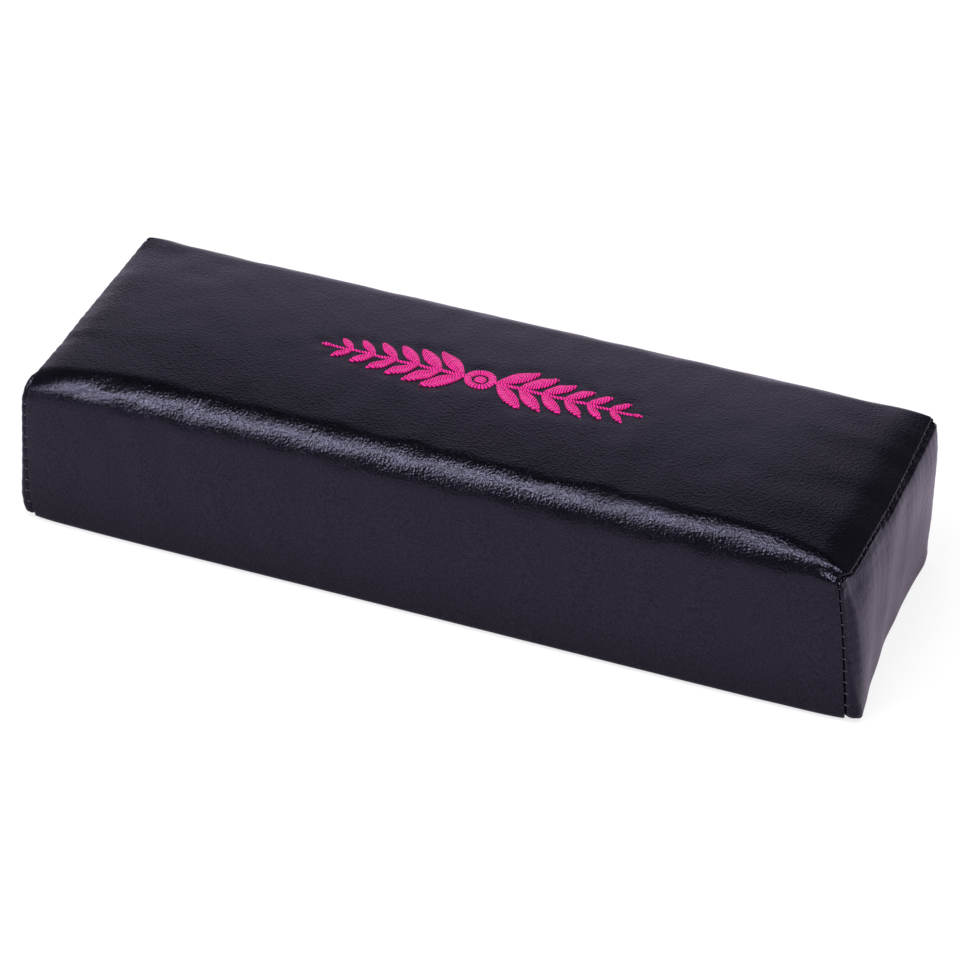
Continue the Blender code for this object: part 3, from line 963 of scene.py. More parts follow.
@dataclass
class Garland:
    """The embroidery on the crown: a roundel with a stem and pairs of leaves on each side."""

    form: CushionForm
    material: bpy.types.Material
    length: float = 116.0 * MM
    stem_width: float = 1.6 * MM
    roundel: float = 5.5 * MM
    pairs: int = 6
    leaf_length: float = 16.0 * MM
    leaf_taper: float = 0.50
    leaf_angle: float = math.radians(42)
    # Gap between the roundel and the first leaves, and beyond the last ones
    leaf_gap: float = 0.5 * MM
    # How far a leaf's foot stands off the middle of the stem
    foot_offset: float = 0.3 * MM
    # Width of a leaf as a share of its length, and how bluntly it ends
    slimness: float = 0.34
    bluntness: float = 0.8
    # The stem's last stitches are narrower than its first ones by this share
    stem_taper: float = 0.35
    # Radii of the roundel's ring, inside, and of its eye, as shares of the roundel's
    ring_share: float = 0.52
    eye_share: float = 0.38
    raise_height: float = 0.75 * MM
    bar_sink: float = 0.05 * MM
    leaf_sink: float = 0.15 * MM
    # Half the arc of a bar of stitches from its crest to the leather, as a share of a half turn
    bar_arc: float = 0.56
    bar_lift: float = 0.18

    def leaves(self) -> list[tuple[float, float, float, float]]:
        """Foot, turn and length of every leaf.

        Returns:
            Tuples of x, y, angle and length.
        """
        first = self.roundel + self.leaf_gap
        last = self.leaf_length * (1 - self.leaf_taper)
        pitch = (self.length / 2 - last - first) / (self.pairs - 0.5)
        tip = self.length / 2 - last / 2 - self.leaf_gap
        made = []
        for side in (-1, 1):
            for k in range(self.pairs):
                length = self.leaf_length * (1 - self.leaf_taper * k / (self.pairs - 1))
                for up in (-1, 1):
                    angle = up * self.leaf_angle if side > 0 else math.pi - up * self.leaf_angle
                    foot = (side * (first + pitch * k), up * self.foot_offset)
                    made.append((*foot, angle, length))
            made.append((side * tip, 0.0, 0.0 if side > 0 else math.pi, last / 2))
        return made

    def leaf_half(self, share: np.ndarray | float, length: float) -> np.ndarray:
        """Half the width of a leaf of the given length, at a share of that length."""
        return self.slimness * length / 2 * np.sin(np.pi * share) ** self.bluntness

    def bar_height(self, arc: float) -> float:
        """Height of a bar of stitches as a share, by angle from its crest."""
        return (math.cos(arc) + self.bar_lift) / (1 + self.bar_lift)

    def distance(self, x: np.ndarray, y: np.ndarray) -> np.ndarray:
        """Distance to the nearest stitches on the crown.

        Args:
            x: Places along the rest.
            y: Places across it.

        Returns:
            Distances, 0 under the stitches.
        """
        best = np.maximum(np.hypot(x, y) - self.roundel, 0.0)
        past_tip = np.maximum(np.abs(x) - self.length / 2, 0)
        beside = np.maximum(np.abs(y) - self.stem_width / 2, 0)
        best = np.minimum(best, np.hypot(past_tip, beside))
        for foot_x, foot_y, angle, length in self.leaves():
            along = (x - foot_x) * math.cos(angle) + (y - foot_y) * math.sin(angle)
            across = -(x - foot_x) * math.sin(angle) + (y - foot_y) * math.cos(angle)
            share = np.clip(along / length, 0.0, 1.0)
            beside = np.maximum(np.abs(across) - self.leaf_half(share, length), 0.0)
            best = np.minimum(best, np.hypot(along - share * length, beside))
        return best

    def build(self, surface: WrapCover) -> bpy.types.Object:
        """Makes the embroidery on the leather.

        Args:
            surface: The leather it is sewn through.

        Returns:
            The object.
        """
        bm = bmesh.new()
        thread = bm.verts.layers.float_vector.new("thread")
        for foot_x, foot_y, angle, length in self.leaves():
            place = Matrix.Translation((foot_x, foot_y, 0)) @ Matrix.Rotation(angle, 4, "Z")
            self.add_leaf(bm, thread, place, length)
        for side in (-1, 1):
            self.add_stem(bm, thread, side)
        self.add_roundel(bm, thread)
        spots = np.array([(vert.co.x, vert.co.y) for vert in bm.verts])
        for vert, height in zip(bm.verts, surface.crown_height(spots[:, 0], spots[:, 1])):
            vert.co.z += height
        obj = add_piece("embroidery", bm, self.material)
        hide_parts("embroidered_garland")
        return obj

    def add_leaf(self, bm: bmesh.types.BMesh, thread: object, place: Matrix, length: float) -> None:
        """Adds one leaf of satin stitch: two domed halves that meet in a sunk vein.

        Args:
            bm: The mesh.
            thread: The layer that counts the threads.
            place: Where the leaf's foot is, with its turn.
            length: Of the leaf.
        """
        ball = bmesh.ops.create_uvsphere(bm, u_segments=20, v_segments=14, radius=1.0)["verts"]
        for vert in ball:
            share = (1 - vert.co.z) / 2
            turn = math.atan2(vert.co.y, vert.co.x)
            half = float(self.leaf_half(share, length))
            across = half * math.cos(turn) * (1 if math.hypot(vert.co.x, vert.co.y) > 0 else 0)
            dome = self.raise_height * min(1.0, half / (0.9 * MM)) ** 0.5
            # The vein takes up the middle 35% of the width and nearly half of the height
            vein = 1 - 0.45 * max(0.0, 1 - abs(math.cos(turn)) / 0.35) ** 2
            z = dome * max(0.0, math.sin(turn)) ** 0.5 * vein
            if math.sin(turn) < 0:
                z -= self.leaf_sink
            # The stitches slant back towards the foot on both sides of the vein
            slant = share * length + abs(across) * 0.9
            vert[thread] = Vector((slant / MM, 0, 0))
            vert.co = place @ Vector((share * length, across, z))

    def add_stem(self, bm: bmesh.types.BMesh, thread: object, side: int) -> None:
        """Adds one side of the stem: a round bar of short slanted stitches.

        Args:
            bm: The mesh.
            thread: The layer that counts the threads.
            side: 1 towards +X and -1 towards -X.
        """
        start = self.roundel * 0.9
        end = self.length / 2 - self.leaf_length * (1 - self.leaf_taper) / 2
        cells = bmesh.ops.create_grid(bm, x_segments=56, y_segments=10, size=1.0)["verts"]
        for vert in cells:
            share = (vert.co.x + 1) / 2
            arc = vert.co.y * math.pi * self.bar_arc
            taper = 1 - self.stem_taper * share
            x = start + (end - start) * share
            across = math.sin(arc) * self.stem_width / 2 * taper
            z = self.bar_height(arc) * self.raise_height * 0.8 * taper
            vert[thread] = Vector(((x + across * 0.8) / MM * 0.9, 0, 0))
            vert.co = Vector((side * x, side * across, z - self.bar_sink))

    def add_roundel(self, bm: bmesh.types.BMesh, thread: object) -> None:
        """Adds the roundel: a ring of radial satin stitch round a small domed eye.

        Args:
            bm: The mesh.
            thread: The layer that counts the threads.
        """
        ring = bmesh.ops.create_grid(bm, x_segments=64, y_segments=10, size=1.0)["verts"]
        inner, outer = self.roundel * self.ring_share, self.roundel
        for vert in ring:
            turn = vert.co.x * math.pi
            arc = vert.co.y * math.pi * self.bar_arc
            radius = (inner + outer) / 2 + math.sin(arc) * (outer - inner) / 2
            z = self.bar_height(arc) * self.raise_height * 0.95
            vert[thread] = Vector((turn * self.roundel * 0.8 / MM, 0, 0))
            vert.co = Vector((radius * math.cos(turn), radius * math.sin(turn), z - self.bar_sink))
        eye = bmesh.ops.create_uvsphere(bm, u_segments=24, v_segments=12, radius=1.0)["verts"]
        eye_radius = self.roundel * self.eye_share
        for vert in eye:
            vert[thread] = Vector((vert.co.y * self.roundel * 0.4 / MM, 0, 0))
            z = max(vert.co.z, -0.2) * self.raise_height * 0.9
            vert.co = Vector((vert.co.x * eye_radius, vert.co.y * eye_radius, z))


@dataclass
class WrapCover:
    """The panel of leather over front, top and back, with its turned-in ends and its hems."""

    form: CushionForm
    seam: SeamPlan
    material: bpy.types.Material
    thickness: float = 0.9 * MM
    hem: float = 20.0 * MM
    hem_radius: float = 2.0 * MM
    mitre_gap: float = 0.4 * MM
    # How much further this panel's own hems stop short of the mitre
    hem_short: float = 0.6 * MM
    # How far the end panels' faces stand past the flat end, where their hems are turned under
    end_stand: float = 3.4 * MM
    # Small steps along X and round the girth, over which the leather's slope is found
    slope_step: float = 0.6 * MM
    slope_turn: float = 0.012
    # How far the puckers run up the leather, and the length of the waves that make them uneven
    pucker_reach: float = 2.0 * MM
    pucker_wave: float = 31 * MM
    # Heights in mm of the gathers and of the broad folds at the seams, with their waves' length
    # and how far they run, and how much the folds slant
    gather: float = 0.09
    gather_wave: float = 11 * MM
    gather_reach: float = 9 * MM
    fold: float = 0.22
    fold_wave: float = 34 * MM
    fold_reach: float = 24 * MM
    fold_slant: float = 0.15
    # The crease at the front right corner: its length in mm, its place round the girth and how
    # far that moves with each mm, the half widths in mm of its valley and of the ridges beside it,
    # and how far out these lie
    crease_reach: float = 13.0
    crease_place: float = -1.46
    crease_slant: float = 0.006
    crease_depth: float = 0.36 * MM
    crease_width: float = 1.3
    ridge_height: float = 0.34 * MM
    ridge_width: float = 1.7
    ridge_place: float = 3.2
    # The dip round the embroidery, and the length of the waves that make it uneven
    dip: float = 0.30 * MM
    dip_reach: float = 2.6 * MM
    dip_wave: float = 6 * MM
    garland: Garland | None = None
    puff: np.ndarray | None = None

    def stuff(self, stuffing: Stuffing) -> None:
        """Lets the foam swell the panel between its seams.

        Args:
            stuffing: How hard, and how far at most.
        """
        x = np.linspace(-self.form.flat_end, self.form.flat_end, 41)
        t = np.linspace(-3.0, 3.0, 49)
        grid_x, grid_t = np.meshgrid(x, t, indexing="ij")
        pinned = np.zeros(grid_x.shape, dtype=bool)
        pinned[[0, -1], :] = True
        pinned[:, [0, -1]] = True
        points = self.surface(grid_x, grid_t)
        self.puff = stuffing.heights(points, self.form.outwards(grid_x, grid_t), pinned)

    def columns(self) -> np.ndarray:
        """Places of the mesh's columns along the rest, closer together near the seams.

        Returns:
            The places.
        """
        end = self.form.flat_end
        coarse, fine = end - 34 * MM, end - 14 * MM
        parts = [np.arange(0, coarse, 2.0 * MM), np.arange(coarse, fine, 1.2 * MM)]
        parts.append(np.linspace(fine, end, 20))
        return mirrored(np.unique(np.round(np.concatenate(parts), 7)))

    def rows(self) -> np.ndarray:
        """Places of the mesh's rows round the girth, from the front foot to the back foot."""
        return chain((-3, -2, 30), (-2, -1, 20), (-1, 0, 24), (0, 1, 24), (1, 2, 16), (2, 3, 26))

    def girth(self, end: End) -> tuple[np.ndarray, np.ndarray]:
        """Length along an end seam for places round the girth.

        Args:
            end: Which end.

        Returns:
            Places round the girth, and the distance along the seam from the front foot to each.
        """
        t = np.linspace(-3, 3, 1201)
        points, _ = self.form.section(np.full_like(t, end.value * self.form.flat_end), t)
        steps = np.linalg.norm(np.diff(points, axis=0), axis=1)
        return t, np.concatenate([[0.0], np.cumsum(steps)])

    def displacement(self, x: np.ndarray, t: np.ndarray) -> np.ndarray:
        """Height of wrinkles, puckers and dips over the smooth form.

        Args:
            x: Places along the rest.
            t: Places round the girth.

        Returns:
            Heights, outwards.
        """
        form = self.form
        points, _ = form.section(x, t)
        gap = form.flat_end - np.abs(x)
        total = np.zeros_like(x)
        if self.puff is not None:
            column = (x / form.flat_end + 1) / 2 * (self.puff.shape[0] - 1)
            total += spread(self.puff, column, (t + 3) / 6 * (self.puff.shape[1] - 1))
        for end in End:
            here = x * end.value > 0
            places, lengths = self.girth(end)
            along = np.interp(t, places, lengths)
            # Stitches pull the edge in, and the pull runs a few millimetres up the leather
            uneven = 0.75 + 0.25 * Ripple(self.pucker_wave, Seed.PUCKER + end.value).at(along)
            pucker = self.seam.pucker * (self.seam.pulse(along) * uneven)
            total -= np.where(here, pucker * np.exp(-gap / self.pucker_reach), 0.0)
            # Soft gathers that run away from the seam
            gathers = Ripple(self.gather_wave, Seed.GATHER + end.value).at(along)
            gathers = gathers * np.exp(-gap / self.gather_reach)
            folds = Ripple(self.fold_wave, Seed.FOLD + end.value).at(along + self.fold_slant * gap)
            folds = folds * np.exp(-gap / self.fold_reach)
            on_top = smooth_step((2.1 - np.abs(t)) / 0.6) * 0.75 + 0.25
            total += np.where(here, (self.gather * gathers + self.fold * folds) * MM * on_top, 0.0)
        # The crease is a valley between two ridges. The place round the girth counts about 12 mm
        # to each unit there
        valley = self.crease_place - self.crease_slant * gap / MM
        across = (t - valley) * 12.0
        fade = smooth_step((self.crease_reach - gap / MM) / self.crease_reach) * (x > 0)
        total -= self.crease_depth * fade * np.exp(-((across / self.crease_width) ** 2))
        beside = (np.abs(across) - self.ridge_place) / self.ridge_width
        total += self.ridge_height * fade * np.exp(-(beside**2))
        if self.garland:
            near = self.garland.distance(x, points[..., 0])
            puckers = 1 + 0.35 * Ripple(self.dip_wave, Seed.DIP).at(x + 0.6 * points[..., 0])
            sunk = self.dip * puckers * np.exp(-((near / self.dip_reach) ** 2))
            total -= np.where(np.abs(t) < 1.0, sunk, 0.0)
        return total

    def surface(self, x: np.ndarray, t: np.ndarray) -> np.ndarray:
        """The leather's outer face.

        Args:
            x: Places along the rest.
            t: Places round the girth.

        Returns:
            Points along the last axis.
        """
        points, normals = self.form.section(x, t)
        across = points + normals * self.displacement(x, t)[..., None]
        along = x + self.form.seam_shift(x, t)
        return np.stack([along, across[..., 0], across[..., 1]], axis=-1)

    def crown_height(self, x: np.ndarray, y: np.ndarray) -> np.ndarray:
        """Height of the leather's face on the crown.

        Args:
            x: Places along the rest.
            y: Places across it.

        Returns:
            The heights over the table.
        """
        form = self.form
        lean = math.asin((form.half_width - form.shoulder) / (form.crown_radius - form.shoulder))
        return self.surface(x, np.arcsin(y / form.crown_radius) / lean)[:, 2]

    def seam_path(self, end: End, t: np.ndarray) -> SeamPath:
        """Works out an end seam.

        Args:
            end: Which end.
            t: Places round the girth.

        Returns:
            The seam's circles and directions there.
        """
        x = np.full_like(t, end.value * self.form.flat_end)
        edge = self.surface(x, t)
        forward = unit(edge - self.surface(x - end.value * self.slope_step, t))
        before, after = t - self.slope_turn, t + self.slope_turn
        along = unit(self.surface(x, after) - self.surface(x, before))
        face = unit(np.cross(forward, along) * end.value)
        outwards = self.form.outwards(x, t)
        level = np.zeros_like(outwards)
        level[:, 0] = end.value
        roll = self.seam.wrap_roll.at(t) * MM
        # The stitches draw both rolls in, and more so on the top
        places, lengths = self.girth(end)
        on_top = 0.45 + 0.55 * smooth_step((1.9 - np.abs(t)) / 0.4)
        return SeamPath(
            plan=self.seam,
            edge=edge,
            centre=edge - face * roll[:, None],
            outwards=outwards,
            level=level,
            tilt=np.arctan2((face * level).sum(axis=1), (face * outwards).sum(axis=1)),
            contact=np.radians(self.seam.contact.at(end.value, t)),
            wrap_roll=roll,
            panel_roll=self.seam.panel_roll.at(end.value, t) * MM,
            pull=self.seam.pucker * on_top * self.seam.pulse(np.interp(t, places, lengths)),
        )

    def roll_points(self, end: End, t: np.ndarray) -> np.ndarray:
        """The roll and the seam allowance at an end.

        Args:
            end: Which end.
            t: Places round the girth.

        Returns:
            Points, by step of the roll and by place.
        """
        path = self.seam_path(end, t)
        last = math.pi / 2 + path.contact
        inwards = between(path.level, -path.outwards, last)
        return path.roll(path.edge, path.on_wrap, path.wrap_roll, (path.tilt, last), inwards)

    def hem_profile(self) -> list[tuple[float, float]]:
        """The hem's way from the foot: round the board's edge, and then flat under it.

        Returns:
            How far inwards and how far down each of its steps lies.
        """
        radius = self.hem_radius
        turns = np.linspace(0, math.pi / 2, 6)
        arc = [(radius * (1 - math.cos(a)), radius * math.sin(a)) for a in turns]
        return arc + [(radius + (self.hem - radius) * share, radius) for share in (0.08, 0.4, 0.7, 1.0)]

    def hem_points(self, side: int, x: np.ndarray) -> np.ndarray:
        """The hem under the board, on the front or the back.

        Args:
            side: -1 for the front and 1 for the back.
            x: Places along the rest.

        Returns:
            Points, by place and by step.
        """
        foot = self.surface(x, np.full_like(x, 3.0 * side))
        seam_plane = self.form.flat_end + self.end_stand
        rows = []
        for inward, down in self.hem_profile():
            limit = seam_plane - inward - self.mitre_gap - self.hem_short
            row = foot.copy()
            row[:, 0] *= min(1.0, limit / self.form.flat_end)
            row[:, 1] -= side * inward
            row[:, 2] = self.form.foot - down
            rows.append(row)
        return np.stack(rows, axis=1)

    def build(self) -> bpy.types.Object:
        """Makes the wrap panel and takes the CAD panel's place.

        Returns:
            The object.
        """
        x, t = self.columns(), self.rows()
        bm = bmesh.new()
        grid_x, grid_t = np.meshgrid(x, t, indexing="ij")
        add_sheet(bm, self.surface(grid_x, grid_t))
        for end in End:
            add_sheet(bm, self.roll_points(end, t))
        for side in (-1, 1):
            add_sheet(bm, self.hem_points(side, x))
        finish_sheet(bm, Vector((0, 0, 1)), Vector((0, 0, self.form.height)))
        obj = add_piece("wrap_leather", bm, self.material)
        add_wall(obj, self.thickness)
        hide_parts("wrap_cover")
        return obj


@dataclass
class EndPanel:
    """A sewn end panel: fullest between its seams, drawn in at the middle of its foot."""

    end: End
    wrap: WrapCover
    node: str
    swell: float = 2.0 * MM
    side_reach: float = 10.0 * MM
    top_reach: float = 22.0 * MM
    foot_reach: float = 20.0 * MM
    across_steps: int = 76
    up_steps: int = 50
    # Place round the girth of the face's upper corners, and the face's height as a share of the rest's
    corner: float = 1.5
    tallness: float = 0.8
    # Heights in mm of the gathers and of the broad folds, with their waves' length, and how far
    # from the side seams and from the top seam they reach their full height
    gather: float = 0.035
    gather_wave: float = 8 * MM
    fold: float = 0.16
    fold_wave: float = 27 * MM
    side_fade: float = 12 * MM
    top_fade: float = 9 * MM
    # The hollow under the pinched front right corner
    hollow: float = 2.6 * MM
    hollow_down: float = 4.6 * MM
    hollow_across: float = 6.5 * MM
    # The bars of thread in the seam's groove, sunk a little into the leather at both ends
    thread_radius: float = 0.17 * MM
    thread_sink: float = 0.12 * MM
    # Where the foot stands along X, in mm by place across
    foot_line: EndCurves = EndCurves(
        Curve(
            (-50.0, -43.0, -32.0, -17.0, 0.0, 20.0, 35.0, 50.0),
            (150.6, 150.0, 149.2, 148.4, 148.1, 148.1, 148.5, 149.2),
            3.0,
        ),
        Curve(
            (-50.0, -43.0, -32.0, -17.0, -1.0, 12.0, 27.0, 35.0, 40.0, 50.0),
            (152.3, 151.2, 150.0, 148.1, 147.4, 147.0, 147.1, 147.9, 148.7, 147.6),
            3.0,
        ),
    )

    @property
    def width(self) -> float:
        """Width of the face."""
        return 2 * self.wrap.form.half_width

    @property
    def tall(self) -> float:
        """Height of the face between its foot and its upper corners."""
        return self.tallness * self.wrap.form.height

    def border_places(self) -> tuple[np.ndarray, np.ndarray]:
        """Places round the girth of the border's points.

        Returns:
            Those up the front side, the top and down the back side, in one array, and the index
            where each of the two corners falls.
        """
        places, lengths = self.wrap.girth(self.end)
        front, back = np.interp((-self.corner, self.corner), places, lengths)
        up, across = self.up_steps, self.across_steps
        spots = chain((0, front, up), (front, back, across), (back, lengths[-1], up))
        return np.interp(spots, lengths, places), np.array([up, up + across])

    def rim_slope(self, t: np.ndarray) -> np.ndarray:
        """Angle by which the face leans outwards as it leaves its border.

        Args:
            t: Places round the girth of the border's points.

        Returns:
            Angles. The roll into the seam starts at them, so that no edge shows.
        """
        _, corners = self.border_places()
        count = len(t) - 1
        index = np.arange(count + 1)
        v = np.clip(np.minimum(index, count - index) / self.up_steps, 0.0, 1.0)
        across = np.clip((index - corners[0]) / self.across_steps, 0.0, 1.0)
        on_side = (index <= corners[0]) | (index >= corners[1])
        u = np.where(on_side, 0.0, np.minimum(across, 1 - across))
        step = 0.01 * MM
        from_side = self.fullness(step / self.width + u, v)
        from_top = self.fullness(u, 1 - step / self.tall + 0 * v)
        return np.arctan(np.where(on_side, from_side, from_top) / step)

    def fullness(self, u: np.ndarray, v: np.ndarray) -> np.ndarray:
        """How far the stuffing swells the face.

        Args:
            u: Share across, from the front to the back.
            v: Share up.

        Returns:
            Distances, outwards.
        """
        side = np.minimum(u, 1 - u) * self.width
        by_side = 1 - np.clip(1 - side / self.side_reach, 0.0, 1.0) ** 2.6
        by_top = 1 - np.clip(1 - (1 - v) * self.tall / self.top_reach, 0.0, 1.0) ** 2
        return self.swell * by_side * by_top * smooth_step(v * self.tall / self.foot_reach)

    def border(self, t: np.ndarray) -> np.ndarray:
        """The edge of the panel's face, where its roll into the seam starts."""
        path = self.wrap.seam_path(self.end, t)
        return path.on_panel(self.rim_slope(t), path.panel_roll)

    def relief(self, u: np.ndarray, v: np.ndarray, y: np.ndarray, z: np.ndarray) -> np.ndarray:
        """How far the face stands out of the plain patch between its borders.

        Args:
            u: Share across, from the front to the back.
            v: Share up.
            y: Places across.
            z: Heights.

        Returns:
            Distances, outwards.
        """
        side = np.minimum(u, 1 - u) * self.width
        down = (1 - v) * self.tall
        total = self.fullness(u, v)
        # Upright gathers, slanting a little, strongest under the top seam
        slant = y - 0.10 * z
        gathers = Ripple(self.gather_wave, Seed.PANEL_GATHER + self.end.value).at(slant)
        gathers = gathers * (0.3 + 0.7 * v)
        folds = Ripple(self.fold_wave, Seed.PANEL_FOLD + self.end.value).at(slant - 0.1 * z)
        waves = (self.gather * gathers + self.fold * folds) * MM
        total = total + waves * smooth_step(side / self.side_fade) * smooth_step(down / self.top_fade)
        if self.end is End.RIGHT:
            deep, wide = down / self.hollow_down, u * self.width / self.hollow_across
            total = total - self.hollow * deep * np.exp(1 - deep) * wide * np.exp(1 - wide)
        return total

    def face(self, border: np.ndarray, corners: np.ndarray) -> np.ndarray:
        """The panel's face, filled in between its border's points.

        Args:
            border: Points of the border.
            corners: Where the corners fall among them.

        Returns:
            Points, across and up.
        """
        front, back = border[: corners[0] + 1], border[corners[1] :][::-1]
        top = border[corners[0] : corners[1] + 1]
        u = np.linspace(0, 1, self.across_steps + 1)[:, None, None]
        v = np.linspace(0, 1, self.up_steps + 1)[None, :, None]
        share = u[:, 0]
        foot = front[0] * (1 - share) + back[0] * share
        line = self.end.value * self.foot_line.at(self.end.value, foot[:, 1] / MM) * MM
        near_front, near_back = (1 - share[:, 0]) ** 8, share[:, 0] ** 8
        ease = near_front * (front[0, 0] - line[0]) + near_back * (back[0, 0] - line[-1])
        foot[:, 0] = line + ease
        blend = (1 - v) * foot[:, None] + v * top[:, None] + (1 - u) * front[None] + u * back[None]
        blend = blend - ((1 - u) * (1 - v) * front[0] + u * (1 - v) * back[0])
        blend = blend - ((1 - u) * v * front[-1] + u * v * back[-1])
        shares = [np.broadcast_to(part[..., 0], blend.shape[:2]) for part in (u, v)]
        blend[..., 0] += self.end.value * self.relief(*shares, blend[..., 1], blend[..., 2])
        return blend

    def roll_points(self, face: np.ndarray, t: np.ndarray) -> np.ndarray:
        """The panel's roll into the seam and its allowance.

        Args:
            face: The face's points, whose rim the roll starts from.
            t: Places round the girth of the border's points.

        Returns:
            Points, by step of the roll and by place.
        """
        path = self.wrap.seam_path(self.end, t)
        rim = np.concatenate([face[0], face[1:, -1], face[-1, ::-1][1:]])
        last = math.pi - path.contact
        inwards = between(path.outwards, -path.level, last)
        return path.roll(rim, path.on_panel, path.panel_roll, (self.rim_slope(t), last), inwards)

    def hem_points(self, foot: np.ndarray) -> np.ndarray:
        """The hem under the board.

        Args:
            foot: Points of the face's lowest row.

        Returns:
            Points, by place and by step.
        """
        wrap = self.wrap
        plane = wrap.form.flat_end + wrap.end_stand
        rows = []
        for inward, down in wrap.hem_profile():
            row = foot.copy()
            flat = max(0.0, (inward - wrap.hem_radius) / (wrap.hem - wrap.hem_radius))
            straight = self.end.value * (plane - inward)
            row[:, 0] = (foot[:, 0] - self.end.value * inward) * (1 - flat) + straight * flat
            limit = wrap.form.half_width - wrap.form.side_draw - inward - wrap.mitre_gap
            row[:, 1] *= min(1.0, limit / abs(foot[0, 1]))
            row[:, 2] = wrap.form.foot - down
            rows.append(row)
        return np.stack(rows, axis=1)

    def build(self) -> bpy.types.Object:
        """Makes the end panel and takes the CAD panel's place.

        Returns:
            The object.
        """
        t, corners = self.border_places()
        face = self.face(self.border(t), corners)
        bm = bmesh.new()
        add_sheet(bm, face)
        add_sheet(bm, self.roll_points(face, t))
        add_sheet(bm, self.hem_points(face[:, 0]))
        middle = face[self.across_steps // 2, self.up_steps // 2]
        finish_sheet(bm, Vector((self.end.value, 0, 0)), Vector(middle))
        obj = add_piece(f"{self.end.name.lower()}_end_leather", bm, self.wrap.material)
        add_wall(obj, self.wrap.thickness)
        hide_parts(self.node)
        return obj

    def build_stitches(self, material: bpy.types.Material) -> bpy.types.Object:
        """Makes the thread that crosses the groove of the seam, one short bar for each stitch.

        Args:
            material: The thread.

        Returns:
            The object.
        """
        wrap = self.wrap
        places, lengths = wrap.girth(self.end)
        count = int(lengths[-1] / wrap.seam.pitch)
        spots = (np.arange(count - 1) + 1) * wrap.seam.pitch
        t = np.interp(spots, lengths, places)
        # None at the upper corners, where the seam turns too sharply for one to show
        t = t[(np.abs(np.abs(t) - self.corner) > 0.3)]
        path = wrap.seam_path(self.end, t)
        sink = self.thread_sink
        near = path.on_wrap(path.contact * 0.4 + math.radians(38), path.wrap_roll - sink)
        far = path.on_panel(math.radians(112) - path.contact * 0.6, path.panel_roll - sink)
        bm = bmesh.new()
        for start, finish in zip(near, far):
            start, finish = Vector(start), Vector(finish)
            axis = finish - start
            bar = bmesh.ops.create_uvsphere(bm, u_segments=8, v_segments=6, radius=1.0)["verts"]
            turn = axis.to_track_quat("Z", "X").to_matrix().to_4x4()
            size = (self.thread_radius, self.thread_radius, axis.length / 2 + sink, 1.0)
            shape = Matrix.Translation((start + finish) / 2) @ turn @ Matrix.Diagonal(size)
            bmesh.ops.transform(bm, matrix=shape, verts=bar)
        return add_piece(f"{self.end.name.lower()}_seam_thread", bm, material)


@dataclass
class FoamBlock:
    """The foam under the leather, a rounded block eased at its ends for the seam allowances."""

    form: CushionForm
    material: bpy.types.Material
    inset: float = 1.6 * MM
    bottom: float = 6.4 * MM
    end: float = 146.0 * MM
    ease: float = 12.0 * MM
    ease_depth: float = 11.0 * MM
    # Place round the girth of the block's lower edges
    rim: float = 2.85

    def build(self) -> bpy.types.Object:
        """Makes the foam and takes the CAD block's place.

        Returns:
            The object.
        """
        x = mirrored(chain((0, self.end - self.ease, 25), (self.end - self.ease, self.end, 8)))
        t = chain((-self.rim, -1.0, 21), (-1.0, 1.0, 24), (1.0, self.rim, 21))
        rows = []
        for place in x:
            share = np.clip((abs(place) - (self.end - self.ease)) / self.ease, 0, 1)
            depth = self.inset + self.ease_depth * (1 - math.sqrt(max(0.0, 1 - share**2)))
            clipped = np.full_like(t, math.copysign(min(abs(place), self.form.flat_end), place))
            ring = self.form.section(clipped, t, depth)[0]
            along = place + self.form.seam_shift(clipped, t)
            rows.append(np.stack([along, ring[:, 0], np.maximum(ring[:, 1], self.bottom)], axis=-1))
        upper = np.stack(rows)
        bm = bmesh.new()
        add_sheet(bm, upper)
        across = np.linspace(0, 1, 20)[None, :, None]
        add_sheet(bm, upper[:, :1] * (1 - across) + upper[:, -1:] * across)
        bmesh.ops.remove_doubles(bm, verts=bm.verts, dist=2e-6)
        rims = [e for e in bm.edges if e.is_boundary]
        bmesh.ops.holes_fill(bm, edges=rims, sides=0)
        bmesh.ops.recalc_face_normals(bm, faces=bm.faces)
        obj = add_piece("foam_block", bm, self.material)
        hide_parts("foam_core")
        return obj


